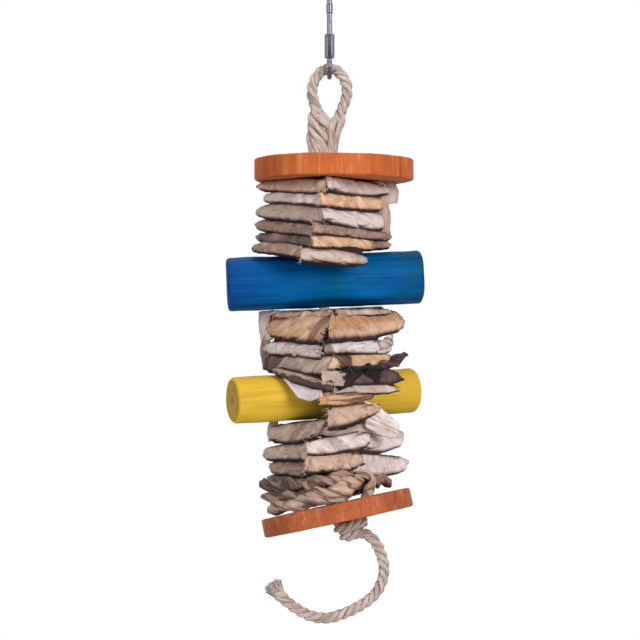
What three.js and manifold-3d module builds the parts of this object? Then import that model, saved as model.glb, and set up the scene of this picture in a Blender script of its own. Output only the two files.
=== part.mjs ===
// A hanging chew toy: snap hook, sisal rope, wooden discs and logs, and bundles of folded leaf pads.
// Millimetres, +Z up. The origin is the inside top of the hook, where the toy hangs.
import * as THREE from 'three';
import { mergeVertices } from 'three/addons/utils/BufferGeometryUtils.js';
import Module from 'manifold-3d';

const wasm = await Module();
wasm.setup();

// Clearances
const seatGap = 0.3;
const turnGap = 0.6;

// Snap hook
const wireDiameter = 3.5;
const hookInnerWidth = 13;
const hookInnerLength = 54;
const noseDiameter = 4.4;
const noseLength = 7;
const gateTipDrop = 18.4;
const gateSeamLean = 32;
const gateSeamGap = 0.4;
const hingeRise = 0.5;
const hingePinDiameter = 1;
const tongueThickness = 1;
const gateForkLength = 2.2;
const tongueReach = 1.5;
const hookEdgeEase = 0.5;
const springDiameter = 0.9;
const springLength = 8;
const sleeveAcrossFlats = 6;
const sleeveWall = 0.6;
const sleeveLength = 16;
const sleeveTravel = 13;
const wireSides = 8;
const wireSteps = 34;
const bowSteps = 6;
const gateSides = 12;
const pinSides = 10;

// Rope
const ropeDiameter = 7.5;
const ropeSides = 8;
const eyeWidth = 23;
const eyeDrop = 34;
const neckWidth = 17;
const neckDepth = 13;
const neckHeight = 26.5;
const knotWidth = 23;
const knotHeight = 13.5;
const ropeOffsetX = -3.4;
const eyeSteps = 30;
const tailSteps = 26;
const knotSides = 14;

// Crown of the rope eye, from its shoulder up: shares of its half width, and of its drop below the top
const eyeShoulderFall = 0.58;
const eyeCrown = [[0.87, 0.26], [0.46, 0.06]];

// Profiles of the neck and the knot, from the bottom up: shares of their half width and of their height
const neckProfile = [[0.9, 0], [1, 0.25], [0.82, 0.6], [0.95, 0.88], [0.8, 1]];
const knotProfile = [[0.5, 0], [0.88, 0.2], [1, 0.5], [0.88, 0.8], [0.55, 1]];

// Wooden discs and logs
const topDiscRadius = 52.6;
const topDiscThickness = 14;
const topDiscOffsetX = 5.4;
const bottomDiscRadius = 50.4;
const bottomDiscThickness = 12.2;
const bottomDiscOffset = 4.6;
const discEdgeRound = 1.2;
const topDiscPhase = 0.6;
const bottomDiscPhase = 2.1;
const rimPoints = 48;
const holeClearance = 0.95;
const holeSides = 14;
const blueLogDiameter = 35.6;
const blueLogLength = 130;
const blueLogYaw = 5;
const yellowLogDiameter = 30.4;
const yellowLogLength = 130;
const yellowLogYaw = 22;
const logEdgeRound = 2.2;
const logEdgeShare = 0.3;
const logSides = 28;

// Lobes of a tree slice's rim: how many go round, how they turn with its phase, and their share of its radius
const discLobes = [[3, 1, 0.022], [7, 2, 0.012]];

// Leaf pads: square pads, folded once, threaded with one corner to the front
const padSide = 64;
const foldDepth = 13;
const foldClearance = 1;
const foldTaper = 0.25;
const creaseMargin = 1.5;
const pageGap = 0.35;
const pageOpening = 1;
const droopStart = 14;
const droopStrips = 5;
const droopCornerStrips = 3;

// Profile of a fold: share of its depth, and how far it has swollen there
const foldProfile = [[0, 0], [0.35, 0.85], [0.65, 1], [0.88, 0.7]];

// Heights of the three bundles, and the slope of the stack at each level (rise to the right)
const upperBundleHeight = 48.2;
const middleBundleHeight = 42.8;
const lowerBundleHeight = 54.6;
const blueSlope = 0.0425;
const yellowSlope = 0.036;
const bottomSlope = 0.218;
const bottomPitch = -0.108;

// Height that each fold takes on its face, from the top down, as shares of its bundle
const upperLeftFolds = [9, 7.5, 10.5, 7.5, 7, 8.5];
const upperRightFolds = [10.5, 8.5, 11, 6.5, 8, 8];
const middleLeftFolds = [15, 9.5, 9.5, 5.5, 4.5];
const middleRightFolds = [13.5, 9, 8.5, 8, 5];
const lowerLeftFolds = [14, 11, 9.5, 9, 10];
const lowerRightFolds = [14, 14, 12, 8, 8];
const upperDroops = [0, 0, 0, 0, 0, 0, 0, 0, 0, 0, 0, 7];
const middleDroops = [0, 0, 0, 0, 0, 0, 0, 5, 11, 19];
const lowerDroops = [0, 0, 0, 0, 0, 0, 0, 0, 0, 0];

// Loose leaf in front of the yellow log. Each station of a sheet is an upper and a lower point: how far it is
// right of the rope, behind it, and above the edge of its bundle.
const looseThickness = 1.6;
const hangingLeft = [
  [[-29.6, -15, 2], [-30.6, -22, -0.4]],
  [[-22.6, -22, 1], [-23.1, -32, -7.4]],
  [[-15.1, -30, -0.5], [-16.1, -38, -15.8]],
  [[-7.6, -37.5, -3], [-7.6, -43, -17.4]],
  [[-1.2, -44, -6], [-1.2, -48, -13]],
];
const hangingRight = [
  [[-2.1, -46, -13.6], [-2.6, -48, -18]],
  [[6.4, -38.5, -9.5], [7.4, -45.5, -19]],
  [[19.4, -37, -11], [19.4, -42, -17.8]],
  [[30.9, -36, -12], [30.9, -38.5, -15.6]],
];
const standingSheet = [
  [[26.4, -41, 14], [26.4, -41, 0.6]],
  [[35.4, -40.5, 10.6], [35.4, -40.5, -2.8]],
  [[42.4, -40, 4.6], [42.4, -40, -4.4]],
  [[46.9, -39.5, -1.9], [46.9, -39.5, -5.2]],
];
const standingRoll = [[1.4, -41, 2.6], [13.4, -43.5, 5], [29.4, -42.5, 8.6]];
const standingRollRadius = 5.6;
const looseRollSides = 10;
const looseRollSteps = 6;

// Free tail of the rope, seen from the front, from the stopper knot to the frayed end
const tailPoints = [
  [23.6, -359.2], [27.2, -361.4], [30.4, -364.6], [32.8, -369], [34.6, -374], [35.8, -379],
  [36, -384], [35.2, -389], [33, -394.4], [29.4, -399.6], [24.4, -404], [18.4, -407.6],
  [12, -410.8], [5, -413.4], [-2, -414.8], [-9, -414.2], [-16, -411.8], [-22.4, -408.2],
  [-28, -404.2], [-32.6, -399.8], [-36, -395.2],
];
const tailDepth = -9;

// Levels down the rope, each worked out from the one above it
const wireRadius = wireDiameter / 2;
const ropeRadius = ropeDiameter / 2;
const hookHalfWidth = (hookInnerWidth + wireDiameter) / 2;
const hookTopCentre = wireRadius - hookHalfWidth;
const bowInside = -hookInnerLength;
const hookBottomCentre = bowInside - wireRadius + hookHalfWidth;
const hingeLevel = hookBottomCentre + hingeRise;
const tongueFoot = hingeLevel - gateForkLength - turnGap;
const boreRadius = sleeveAcrossFlats / 2 - sleeveWall;
const threadRadius = boreRadius - seatGap;
const slotTop = hingeLevel + tongueReach + turnGap;
const sleeveBottom = hingeLevel + gateForkLength + seatGap;
const noseBottom = sleeveBottom + sleeveLength + sleeveTravel + seatGap;
const eyeTop = bowInside + seatGap + ropeRadius;
const eyeBottom = eyeTop - eyeDrop;
const neckTop = eyeBottom - seatGap;
const neckBottom = neckTop - neckHeight;
const topDiscTop = neckBottom - seatGap;
const topDiscBottom = topDiscTop - topDiscThickness;
const upperTop = topDiscBottom - seatGap;
const upperBottom = upperTop - upperBundleHeight;
const blueLogLevel = upperBottom - seatGap - blueLogDiameter / 2;
const middleTop = blueLogLevel - blueLogDiameter / 2 - seatGap;
const middleBottom = middleTop - middleBundleHeight;
const yellowLogLevel = middleBottom - seatGap - yellowLogDiameter / 2;
const lowerTop = yellowLogLevel - yellowLogDiameter / 2 - seatGap;
const lowerBottom = lowerTop - lowerBundleHeight;
const ropeBend = new THREE.Vector3(ropeOffsetX, 0, lowerTop);
const ropeEndDirection = new THREE.Vector3(bottomSlope, bottomPitch, -1).normalize();
const bottomDiscAxis = ropeEndDirection.clone().negate();
const bottomDiscCentre = ropeAt(lowerBottom)
  .addScaledVector(ropeEndDirection, seatGap + bottomDiscThickness / 2);
const knotCentre = bottomDiscCentre.clone()
  .addScaledVector(ropeEndDirection, bottomDiscThickness / 2 + seatGap + knotHeight / 2);
const holeRadius = ropeRadius + holeClearance;
const padHalf = padSide / 2;
const foldCrease = padHalf - foldDepth - creaseMargin;

// Directions of the two front faces of a bundle, seen from above
const leftFace = new THREE.Vector2(-Math.SQRT1_2, -Math.SQRT1_2);
const rightFace = new THREE.Vector2(Math.SQRT1_2, -Math.SQRT1_2);

const chrome = new THREE.MeshStandardMaterial({ color: 0xc9cbcf, roughness: 0.2, metalness: 1 });
const sisal = new THREE.MeshStandardMaterial({ color: 0xcbb399, roughness: 0.95, metalness: 0 });
const orangeWood = new THREE.MeshStandardMaterial({ color: 0xc8692f, roughness: 0.6, metalness: 0 });
const blueWood = new THREE.MeshStandardMaterial({ color: 0x0d5aa7, roughness: 0.5, metalness: 0 });
const yellowWood = new THREE.MeshStandardMaterial({ color: 0xdcbb2e, roughness: 0.5, metalness: 0 });
const tanLeaf = new THREE.MeshStandardMaterial({ color: 0xb89b7c, roughness: 0.7, metalness: 0 });
const paleLeaf = new THREE.MeshStandardMaterial({ color: 0xcdc2b8, roughness: 0.7, metalness: 0 });
const brownLeaf = new THREE.MeshStandardMaterial({ color: 0x84695a, roughness: 0.7, metalness: 0 });

const toy = new THREE.Group();

function toSolid(geometry) {
  const bare = geometry.clone();
  bare.deleteAttribute('normal');
  bare.deleteAttribute('uv');
  const merged = mergeVertices(bare, 1e-3);
  return new wasm.Manifold(new wasm.Mesh({
    numProp: 3,
    vertProperties: new Float32Array(merged.attributes.position.array),
    triVerts: new Uint32Array(merged.index.array),
  }));
}

function toGeometry(solid) {
  const { vertProperties, triVerts } = solid.getMesh();
  const geometry = new THREE.BufferGeometry();
  geometry.setAttribute('position', new THREE.BufferAttribute(vertProperties, 3));
  geometry.setIndex(new THREE.BufferAttribute(triVerts, 1));
  return geometry;
}

function addMesh(name, geometry, material) {
  const mesh = new THREE.Mesh(geometry, material);
  mesh.name = name;
  toy.add(mesh);
  return mesh;
}

function polygon(radius, sides, turn = 0) {
  const points = [];
  for (let i = 0; i < sides; i++) {
    const angle = turn + (i * 2 * Math.PI) / sides;
    points.push(new THREE.Vector2(radius * Math.cos(angle), radius * Math.sin(angle)));
  }
  return new THREE.Shape(points);
}

function tube(points, radius, sides, steps) {
  const path = new THREE.CatmullRomCurve3(points, false, 'centripetal');
  return new THREE.ExtrudeGeometry(polygon(radius, sides), { steps, extrudePath: path });
}

// A prism standing on the height bottom, with its section in the XY plane
function prism(section, bottom, height) {
  const geometry = new THREE.ExtrudeGeometry(section, { depth: height, bevelEnabled: false });
  return geometry.translate(0, 0, bottom);
}

// A turned piece about the Z axis, from a profile of [radius, height] points on the axis at both ends
function turned(profile, sides) {
  const points = profile.map(([radius, height]) => new THREE.Vector2(radius, height));
  return new THREE.LatheGeometry(points, sides).rotateX(Math.PI / 2);
}

// The rope's centre line: straight down, then along the slope of the bottom disc
function ropeAt(height) {
  if (height >= ropeBend.z) return new THREE.Vector3(ropeOffsetX, 0, height);
  const drop = (height - ropeBend.z) / ropeEndDirection.z;
  return ropeBend.clone().addScaledVector(ropeEndDirection, drop);
}

function ropeRun(radius, top, length) {
  const straight = prism(polygon(radius, ropeSides), ropeBend.z, top - ropeBend.z)
    .translate(ropeOffsetX, 0, 0);
  const toEnd = new THREE.Quaternion().setFromUnitVectors(new THREE.Vector3(0, 0, -1), ropeEndDirection);
  const slanted = prism(polygon(radius, ropeSides), -length, length).applyQuaternion(toEnd)
    .translate(ropeBend.x, ropeBend.y, ropeBend.z);
  const elbow = new THREE.SphereGeometry(radius, ropeSides, 6).rotateX(Math.PI / 2)
    .translate(ropeBend.x, ropeBend.y, ropeBend.z);
  return toSolid(straight).add(toSolid(slanted)).add(toSolid(elbow));
}

// Points of a half circle of the hook, in its own YZ plane, from one angle to another
function bowPoints(centre, from, to) {
  const points = [];
  for (let i = 0; i <= bowSteps; i++) {
    const angle = from + ((to - from) * i) / bowSteps;
    points.push(new THREE.Vector3(
      0, hookHalfWidth * Math.cos(angle), centre + hookHalfWidth * Math.sin(angle)));
  }
  return points;
}

// A block on one side of the leaning seam between nose and gate: below it for 1, above it for -1
function seamBlock(side) {
  const reach = 3 * wireDiameter;
  const lean = wireDiameter * Math.tan(THREE.MathUtils.degToRad(gateSeamLean));
  const edge = -gateTipDrop + (side * gateSeamGap) / 2;
  const outline = new THREE.Shape([
    new THREE.Vector2(-wireDiameter, edge - lean),
    new THREE.Vector2(wireDiameter, edge + lean),
    new THREE.Vector2(wireDiameter, edge - side * reach),
    new THREE.Vector2(-wireDiameter, edge - side * reach),
  ]);
  return toSolid(new THREE.ExtrudeGeometry(outline, { depth: 2 * wireDiameter, bevelEnabled: false })
    .rotateX(Math.PI / 2).translate(0, wireDiameter - hookHalfWidth, 0));
}

// A short bar across the hook, on the gate's hinge axis
function hingeBar(radius, length) {
  return new THREE.CylinderGeometry(radius, radius, length, pinSides)
    .rotateZ(Math.PI / 2).translate(0, -hookHalfWidth, hingeLevel);
}

function addHook() {
  const bowEnd = -Math.PI + Math.asin((hookBottomCentre - tongueFoot) / hookHalfWidth);
  const wire = toSolid(tube([
    new THREE.Vector3(0, -hookHalfWidth, -gateTipDrop - wireDiameter),
    new THREE.Vector3(0, -hookHalfWidth, (hookTopCentre - gateTipDrop) / 2),
    ...bowPoints(hookTopCentre, Math.PI, 0),
    new THREE.Vector3(0, hookHalfWidth, (hookTopCentre + hookBottomCentre) / 2),
    ...bowPoints(hookBottomCentre, 0, bowEnd),
  ], wireRadius, wireSides, wireSteps));
  const noseRadius = noseDiameter / 2;
  const nose = toSolid(turned([
    [0, noseBottom], [noseRadius - hookEdgeEase, noseBottom], [noseRadius, noseBottom + hookEdgeEase],
    [noseRadius, noseBottom + noseLength - 3 * hookEdgeEase], [wireRadius, noseBottom + noseLength],
    [0, noseBottom + noseLength],
  ], gateSides).translate(0, -hookHalfWidth, 0));
  const tongueTop = hingeLevel + tongueReach;
  const tongueBottom = tongueFoot - tongueReach;
  const tongue = toSolid(new THREE.BoxGeometry(
    tongueThickness, wireDiameter - hookEdgeEase, tongueTop - tongueBottom)
    .translate(0, -hookHalfWidth, (tongueTop + tongueBottom) / 2));
  const pinHole = toSolid(hingeBar(hingePinDiameter / 2 + seatGap, 2 * wireDiameter));
  const body = wire.add(nose).subtract(seamBlock(1)).add(tongue).subtract(pinHole);
  addMesh('hook_body', toGeometry(body), chrome);

  const gateBottom = hingeLevel - gateForkLength;
  const gateLength = wireDiameter - gateTipDrop - gateBottom;
  const rod = toSolid(prism(polygon(wireRadius, gateSides), gateBottom, gateLength)
    .translate(0, -hookHalfWidth, 0));
  const thread = toSolid(prism(polygon(threadRadius, gateSides), sleeveBottom, sleeveLength)
    .translate(0, -hookHalfWidth, 0));
  const slotHeight = slotTop - gateBottom + wireDiameter;
  const slot = toSolid(new THREE.BoxGeometry(tongueThickness + 2 * seatGap, 2 * wireDiameter, slotHeight)
    .translate(0, -hookHalfWidth, slotTop - slotHeight / 2));
  const springBoreLength = springLength + turnGap + seatGap;
  const springBore = toSolid(prism(polygon(springDiameter / 2 + seatGap, wireSides), slotTop - turnGap,
    springBoreLength).translate(0, -hookHalfWidth, 0));
  const gate = rod.add(thread).subtract(seamBlock(-1)).subtract(slot).subtract(springBore).subtract(pinHole);
  addMesh('hook_gate', toGeometry(gate), chrome);
  addMesh('gate_spring', prism(polygon(springDiameter / 2, wireSides), slotTop, springLength)
    .translate(0, -hookHalfWidth, 0), chrome);
  addMesh('gate_pin', hingeBar(hingePinDiameter / 2, wireDiameter), chrome);

  const sleeve = polygon(sleeveAcrossFlats / 2 / Math.cos(Math.PI / 6), 6, Math.PI / 6);
  sleeve.holes.push(polygon(boreRadius, gateSides));
  addMesh('lock_sleeve', prism(sleeve, sleeveBottom, sleeveLength)
    .translate(0, -hookHalfWidth, 0), chrome);
}

function addRope() {
  const half = eyeWidth / 2;
  const leg = ropeRadius + seatGap;
  const lean = ropeOffsetX / 4;
  const eyeSide = (side) => [
    new THREE.Vector3(ropeOffsetX + side * leg, 0, eyeBottom),
    new THREE.Vector3(ropeOffsetX + side * leg, 0, eyeBottom + ropeRadius),
    new THREE.Vector3(side * half + lean, 0, eyeTop - eyeShoulderFall * eyeDrop),
    ...eyeCrown.map(([spread, fall]) => new THREE.Vector3(side * half * spread, 0, eyeTop - fall * eyeDrop)),
  ];
  addMesh('rope_eye', tube([
    ...eyeSide(-1), new THREE.Vector3(0, 0, eyeTop), ...eyeSide(1).reverse(),
  ], ropeRadius, ropeSides, eyeSteps), sisal);

  const neck = neckProfile.map(([share, rise]) => [share * neckWidth / 2, neckBottom + rise * neckHeight]);
  addMesh('rope_neck', turned([[0, neckBottom], ...neck, [0, neckTop]], knotSides)
    .scale(1, neckDepth / neckWidth, 1).translate(ropeOffsetX, 0, 0), sisal);

  const slantLength = ropeBend.distanceTo(knotCentre) - knotHeight / 2 - seatGap / 2;
  addMesh('rope_core', toGeometry(ropeRun(ropeRadius, neckBottom - seatGap, slantLength)), sisal);

  const tilt = new THREE.Quaternion().setFromUnitVectors(new THREE.Vector3(0, 0, 1), bottomDiscAxis);
  const knotHalf = knotHeight / 2;
  const knot = knotProfile.map(([share, rise]) => [share * knotWidth / 2, rise * knotHeight - knotHalf]);
  addMesh('stopper_knot', turned([[0, -knotHalf], ...knot, [0, knotHalf]], knotSides)
    .applyQuaternion(tilt).translate(knotCentre.x, knotCentre.y, knotCentre.z), sisal);

  const tail = tailPoints.map(([x, z]) => new THREE.Vector3(x, tailDepth, z));
  addMesh('rope_tail', tube(tail, ropeRadius, ropeSides, tailSteps), sisal);
}

// A tree slice with a lobed rim, lying flat about its own centre, with an off-centre rope hole
function treeSlice(radius, thickness, holeX, holeY, phase) {
  const outline = [];
  for (let i = 0; i < rimPoints; i++) {
    const angle = (i * 2 * Math.PI) / rimPoints;
    const swell = discLobes.reduce(
      (sum, [lobes, turn, share]) => sum + share * Math.cos(lobes * angle + turn * phase), 0);
    const reach = (radius - discEdgeRound) * (1 + swell);
    outline.push(new THREE.Vector2(reach * Math.cos(angle), reach * Math.sin(angle)));
  }
  const slice = new THREE.ExtrudeGeometry(new THREE.Shape(outline), {
    depth: thickness - 2 * discEdgeRound, bevelThickness: discEdgeRound,
    bevelSize: discEdgeRound, bevelSegments: 1,
  }).translate(0, 0, discEdgeRound - thickness / 2);
  const hole = prism(polygon(holeRadius, holeSides), -thickness, 2 * thickness).translate(holeX, holeY, 0);
  return toGeometry(toSolid(slice).subtract(toSolid(hole)));
}

function addDiscs() {
  addMesh('top_disc', treeSlice(topDiscRadius, topDiscThickness, -topDiscOffsetX, 0, topDiscPhase)
    .translate(ropeOffsetX + topDiscOffsetX, 0, (topDiscTop + topDiscBottom) / 2), orangeWood);

  const fall = new THREE.Vector2(-bottomSlope, -bottomPitch).normalize().multiplyScalar(bottomDiscOffset);
  const tilt = new THREE.Quaternion().setFromUnitVectors(new THREE.Vector3(0, 0, 1), bottomDiscAxis);
  const slice = treeSlice(bottomDiscRadius, bottomDiscThickness, -fall.x, -fall.y, bottomDiscPhase);
  addMesh('bottom_disc', slice.translate(fall.x, fall.y, 0).applyQuaternion(tilt)
    .translate(bottomDiscCentre.x, bottomDiscCentre.y, bottomDiscCentre.z), orangeWood);
}

// A log lying across the rope, with rounded ends and a hole along the rope
function addLog(name, diameter, length, slope, yaw, level, material) {
  const radius = diameter / 2;
  const half = length / 2;
  const ease = logEdgeShare * logEdgeRound;
  const log = turned([
    [0, -half], [radius - logEdgeRound, -half], [radius - ease, -half + ease],
    [radius, -half + logEdgeRound], [radius, half - logEdgeRound],
    [radius - ease, half - ease], [radius - logEdgeRound, half], [0, half],
  ], logSides).rotateY(Math.PI / 2).rotateY(-Math.atan(slope))
    .rotateZ(THREE.MathUtils.degToRad(yaw)).translate(ropeOffsetX, 0, level);
  const hole = prism(polygon(holeRadius, holeSides), level - diameter, 2 * diameter)
    .translate(ropeOffsetX, 0, 0);
  addMesh(name, toGeometry(toSolid(log).subtract(toSolid(hole))), material);
}

// How full a fold is along its face: full in the middle, pressed flat at the corners
function fullness(along) {
  const past = Math.max(0, Math.abs(along) - foldCrease) / (padHalf - foldCrease);
  return 1 - (1 - foldTaper) * past;
}

// The loop of one cross-section of a pad, as [across, height] points: lower page, fold, upper page, slit
function padSection(pad, along, pages) {
  const full = fullness(along);
  const foldPoint = ([share, swell], side) => {
    const thick = pad.halfThickness + (pad.foldHalf - pad.halfThickness) * swell * full;
    const lift = (pad.foldLevel - pad.level) * swell * full;
    return [padHalf - foldDepth * full * (1 - share), pad.level + lift + side * thick];
  };
  const slitPoint = (across, side) => {
    const open = (pageOpening / 2) * ((foldCrease - across) / (foldCrease + padHalf));
    return [across, pad.level + side * open];
  };
  const tip = [padHalf, pad.level + (pad.foldLevel - pad.level) * full];
  const slit = pages.slice(0, -1);
  return [
    ...pages.map((across) => [across, pad.level - pad.halfThickness]),
    ...foldProfile.map((point) => foldPoint(point, -1)),
    tip,
    ...foldProfile.map((point) => foldPoint(point, 1)).reverse(),
    ...pages.map((across) => [across, pad.level + pad.halfThickness]).reverse(),
    ...slit.map((across) => slitPoint(across, 1)),
    [foldCrease, pad.level],
    ...slit.map((across) => slitPoint(across, -1)).reverse(),
  ];
}

// Triangles that close the end of a pad, in strips from page to slit and across the fold
function padEnd(pageCount) {
  const folds = foldProfile.length;
  const tip = pageCount + folds;
  const last = 2 * tip;
  const count = last + 2 * pageCount;
  const apex = last + pageCount;
  const triangles = [];
  const quad = (a, b, c, d) => triangles.push([a, b, c], [a, c, d]);
  const slitBelow = (i) => (i === pageCount - 1 ? apex : count - 1 - i);
  const slitAbove = (i) => (i === pageCount - 1 ? apex : last + 1 + i);
  for (let i = 0; i + 1 < pageCount; i++) {
    quad(i, i + 1, slitBelow(i + 1), slitBelow(i));
    quad(slitAbove(i), slitAbove(i + 1), last - i - 1, last - i);
  }
  triangles.push([pageCount - 1, pageCount, apex]);
  triangles.push([apex, pageCount, last - pageCount]);
  triangles.push([apex, last - pageCount, last - pageCount + 1]);
  for (let i = pageCount; i + 1 < tip; i++) quad(i, i + 1, last - i - 1, last - i);
  triangles.push([tip - 1, tip, tip + 1]);
  return triangles;
}

// A pad's point in the toy: turned to its face, drooping at the front, on the slope of its bundle
function placePad(pad, bundle, across, along, height) {
  const x = pad.face.x * across + pad.other.x * along;
  const y = pad.face.y * across + pad.other.y * along;
  const front = Math.max(0, -y - droopStart) / (padSide * Math.SQRT1_2 - droopStart);
  const share = (bundle.top - height) / (bundle.top - bundle.bottom);
  const slope = bundle.topSlope + (bundle.bottomSlope - bundle.topSlope) * share;
  const pitch = bundle.bottomPitch * share;
  const centre = ropeAt(height);
  return new THREE.Vector3(
    x + centre.x, y + centre.y, height + slope * x + pitch * y - pad.droop * front * front);
}

// Even steps from one value to another, both ends included
function steps(from, to, count) {
  return Array.from({ length: count + 1 }, (unused, i) => from + ((to - from) * i) / count);
}

// A drooping pad is made of narrower strips than a flat one
function leafPad(pad, bundle) {
  const fine = pad.droop > 0;
  const pages = [-padHalf, ...steps(-foldCrease, foldCrease, fine ? droopStrips : 1)];
  const stations = [...pages.slice(0, -1), ...steps(foldCrease, padHalf, fine ? droopCornerStrips : 1)];
  const count = padSection(pad, 0, pages).length;
  const positions = [];
  for (const along of stations) {
    const past = Math.max(0, along - foldCrease) / (padHalf - foldCrease);
    for (const [across, height] of padSection(pad, along, pages)) {
      const cut = (foldDepth + foldClearance) * fullness(across);
      positions.push(...placePad(pad, bundle, across, along - past * cut, height).toArray());
    }
  }
  const index = [];
  const triangle = (a, b, c) => (pad.face === leftFace ? index.push(a, b, c) : index.push(a, c, b));
  for (let ring = 0; ring + 1 < stations.length; ring++) {
    for (let i = 0; i < count; i++) {
      const a = ring * count + i;
      const b = ring * count + ((i + 1) % count);
      triangle(a, b + count, b);
      triangle(a, a + count, b + count);
    }
  }
  const last = (stations.length - 1) * count;
  for (const [a, b, c] of padEnd(pages.length)) {
    triangle(a, b, c);
    triangle(last + a, last + c, last + b);
  }
  const geometry = new THREE.BufferGeometry();
  geometry.setAttribute('position', new THREE.Float32BufferAttribute(positions, 3));
  geometry.setIndex(index);
  return geometry;
}

// A place on loose leaf: right of the rope, behind it, and above the edge of its bundle
function loosePoint([right, behind, above], edge) {
  return new THREE.Vector3(ropeOffsetX + right, behind, edge + above);
}

// A loose sheet from station to station, standing on its lower edge
function looseSheet(stations, edge) {
  const positions = [];
  for (const [upper, lower] of stations) {
    for (const [place, side] of [[upper, -1], [upper, 1], [lower, 1], [lower, -1]]) {
      const point = loosePoint(place, edge);
      positions.push(point.x, point.y + (side * looseThickness) / 2, point.z);
    }
  }
  const index = [];
  for (let i = 0; i + 1 < stations.length; i++) {
    for (let k = 0; k < 4; k++) {
      const a = 4 * i + k;
      const b = 4 * i + ((k + 1) % 4);
      index.push(a, b + 4, b, a, a + 4, b + 4);
    }
  }
  const last = 4 * (stations.length - 1);
  index.push(0, 1, 2, 0, 2, 3, last, last + 2, last + 1, last, last + 3, last + 2);
  const geometry = new THREE.BufferGeometry();
  geometry.setAttribute('position', new THREE.Float32BufferAttribute(positions, 3));
  geometry.setIndex(index);
  return toSolid(geometry);
}

function looseRoll(edge) {
  const path = standingRoll.map((place) => loosePoint(place, edge));
  return toSolid(tube(path, standingRollRadius, looseRollSides, looseRollSteps));
}

// Tops and bottoms of the folds on one face, filling the bundle from the top down
function foldLevels(folds, bundle) {
  const total = folds.reduce((sum, fold) => sum + fold, 0);
  const scale = (bundle.top - bundle.bottom) / total;
  let top = bundle.top;
  return folds.map((fold) => {
    const height = fold * scale;
    const level = top - height / 2;
    top -= height;
    return { level, half: (height - pageGap) / 2 };
  });
}

// Pads are threaded in turn with the fold on the left face and on the right face
function addBundle(name, bundle, leftFolds, rightFolds, droops, materials, loose = {}) {
  const bore = ropeRun(ropeRadius + seatGap, neckBottom, lowerBundleHeight * 2);
  const left = foldLevels(leftFolds, bundle);
  const right = foldLevels(rightFolds, bundle);
  const count = leftFolds.length + rightFolds.length;
  const pitch = (bundle.top - bundle.bottom) / count;
  for (let i = 0; i < count; i++) {
    const onLeft = i % 2 === (bundle.rightFirst ? 1 : 0);
    const fold = (onLeft ? left : right)[Math.floor(i / 2)];
    const pad = {
      face: onLeft ? leftFace : rightFace,
      other: onLeft ? rightFace : leftFace,
      level: bundle.top - (i + 0.5) * pitch,
      halfThickness: (pitch - pageGap) / 2,
      foldLevel: fold.level,
      foldHalf: fold.half,
      droop: droops[i],
    };
    const node = `${name}_leaf_${onLeft ? 'left' : 'right'}_${Math.floor(i / 2) + 1}`;
    const whole = (loose[node] || []).reduce((sum, sheet) => sum.add(sheet), toSolid(leafPad(pad, bundle)));
    addMesh(node, toGeometry(whole.subtract(bore)), materials[i]);
  }
}

addHook();
addRope();
addDiscs();
addLog('blue_log', blueLogDiameter, blueLogLength, blueSlope, blueLogYaw, blueLogLevel, blueWood);
addLog('yellow_log', yellowLogDiameter, yellowLogLength, yellowSlope, yellowLogYaw, yellowLogLevel,
  yellowWood);
addBundle('upper', {
  top: upperTop, bottom: upperBottom, topSlope: 0, bottomSlope: blueSlope, bottomPitch: 0,
}, upperLeftFolds, upperRightFolds, upperDroops, [
  tanLeaf, paleLeaf, paleLeaf, tanLeaf, tanLeaf, paleLeaf,
  brownLeaf, brownLeaf, brownLeaf, tanLeaf, brownLeaf, tanLeaf,
]);
addBundle('middle', {
  top: middleTop, bottom: middleBottom, topSlope: blueSlope, bottomSlope: yellowSlope, bottomPitch: 0,
}, middleLeftFolds, middleRightFolds, middleDroops, [
  tanLeaf, tanLeaf, paleLeaf, paleLeaf, tanLeaf, brownLeaf, brownLeaf, brownLeaf, paleLeaf, tanLeaf,
], {
  middle_leaf_left_5: [looseSheet(hangingLeft, middleBottom)],
  middle_leaf_right_5: [looseSheet(hangingRight, middleBottom)],
});
addBundle('lower', {
  top: lowerTop, bottom: lowerBottom, topSlope: yellowSlope, bottomSlope, bottomPitch, rightFirst: true,
}, lowerLeftFolds, lowerRightFolds, lowerDroops, [
  paleLeaf, paleLeaf, paleLeaf, tanLeaf, paleLeaf, brownLeaf, tanLeaf, brownLeaf, tanLeaf, tanLeaf,
], {
  lower_leaf_right_1: [looseRoll(lowerTop), looseSheet(standingSheet, lowerTop)],
});

export default toy;
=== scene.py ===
import math

import bpy
import numpy as np
from mathutils import Matrix, Vector


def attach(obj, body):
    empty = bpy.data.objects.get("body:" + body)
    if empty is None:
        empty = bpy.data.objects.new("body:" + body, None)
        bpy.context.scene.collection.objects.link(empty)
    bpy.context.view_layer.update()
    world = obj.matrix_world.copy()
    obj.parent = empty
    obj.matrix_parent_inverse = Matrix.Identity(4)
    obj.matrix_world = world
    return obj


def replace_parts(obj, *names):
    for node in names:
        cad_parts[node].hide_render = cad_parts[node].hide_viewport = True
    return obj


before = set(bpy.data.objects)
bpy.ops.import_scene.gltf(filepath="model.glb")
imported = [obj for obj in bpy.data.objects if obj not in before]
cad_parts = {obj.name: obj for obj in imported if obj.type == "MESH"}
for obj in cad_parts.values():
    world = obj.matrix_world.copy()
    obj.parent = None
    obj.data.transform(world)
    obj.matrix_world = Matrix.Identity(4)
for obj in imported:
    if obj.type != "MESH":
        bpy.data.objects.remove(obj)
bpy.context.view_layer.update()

mm = 0.001


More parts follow.
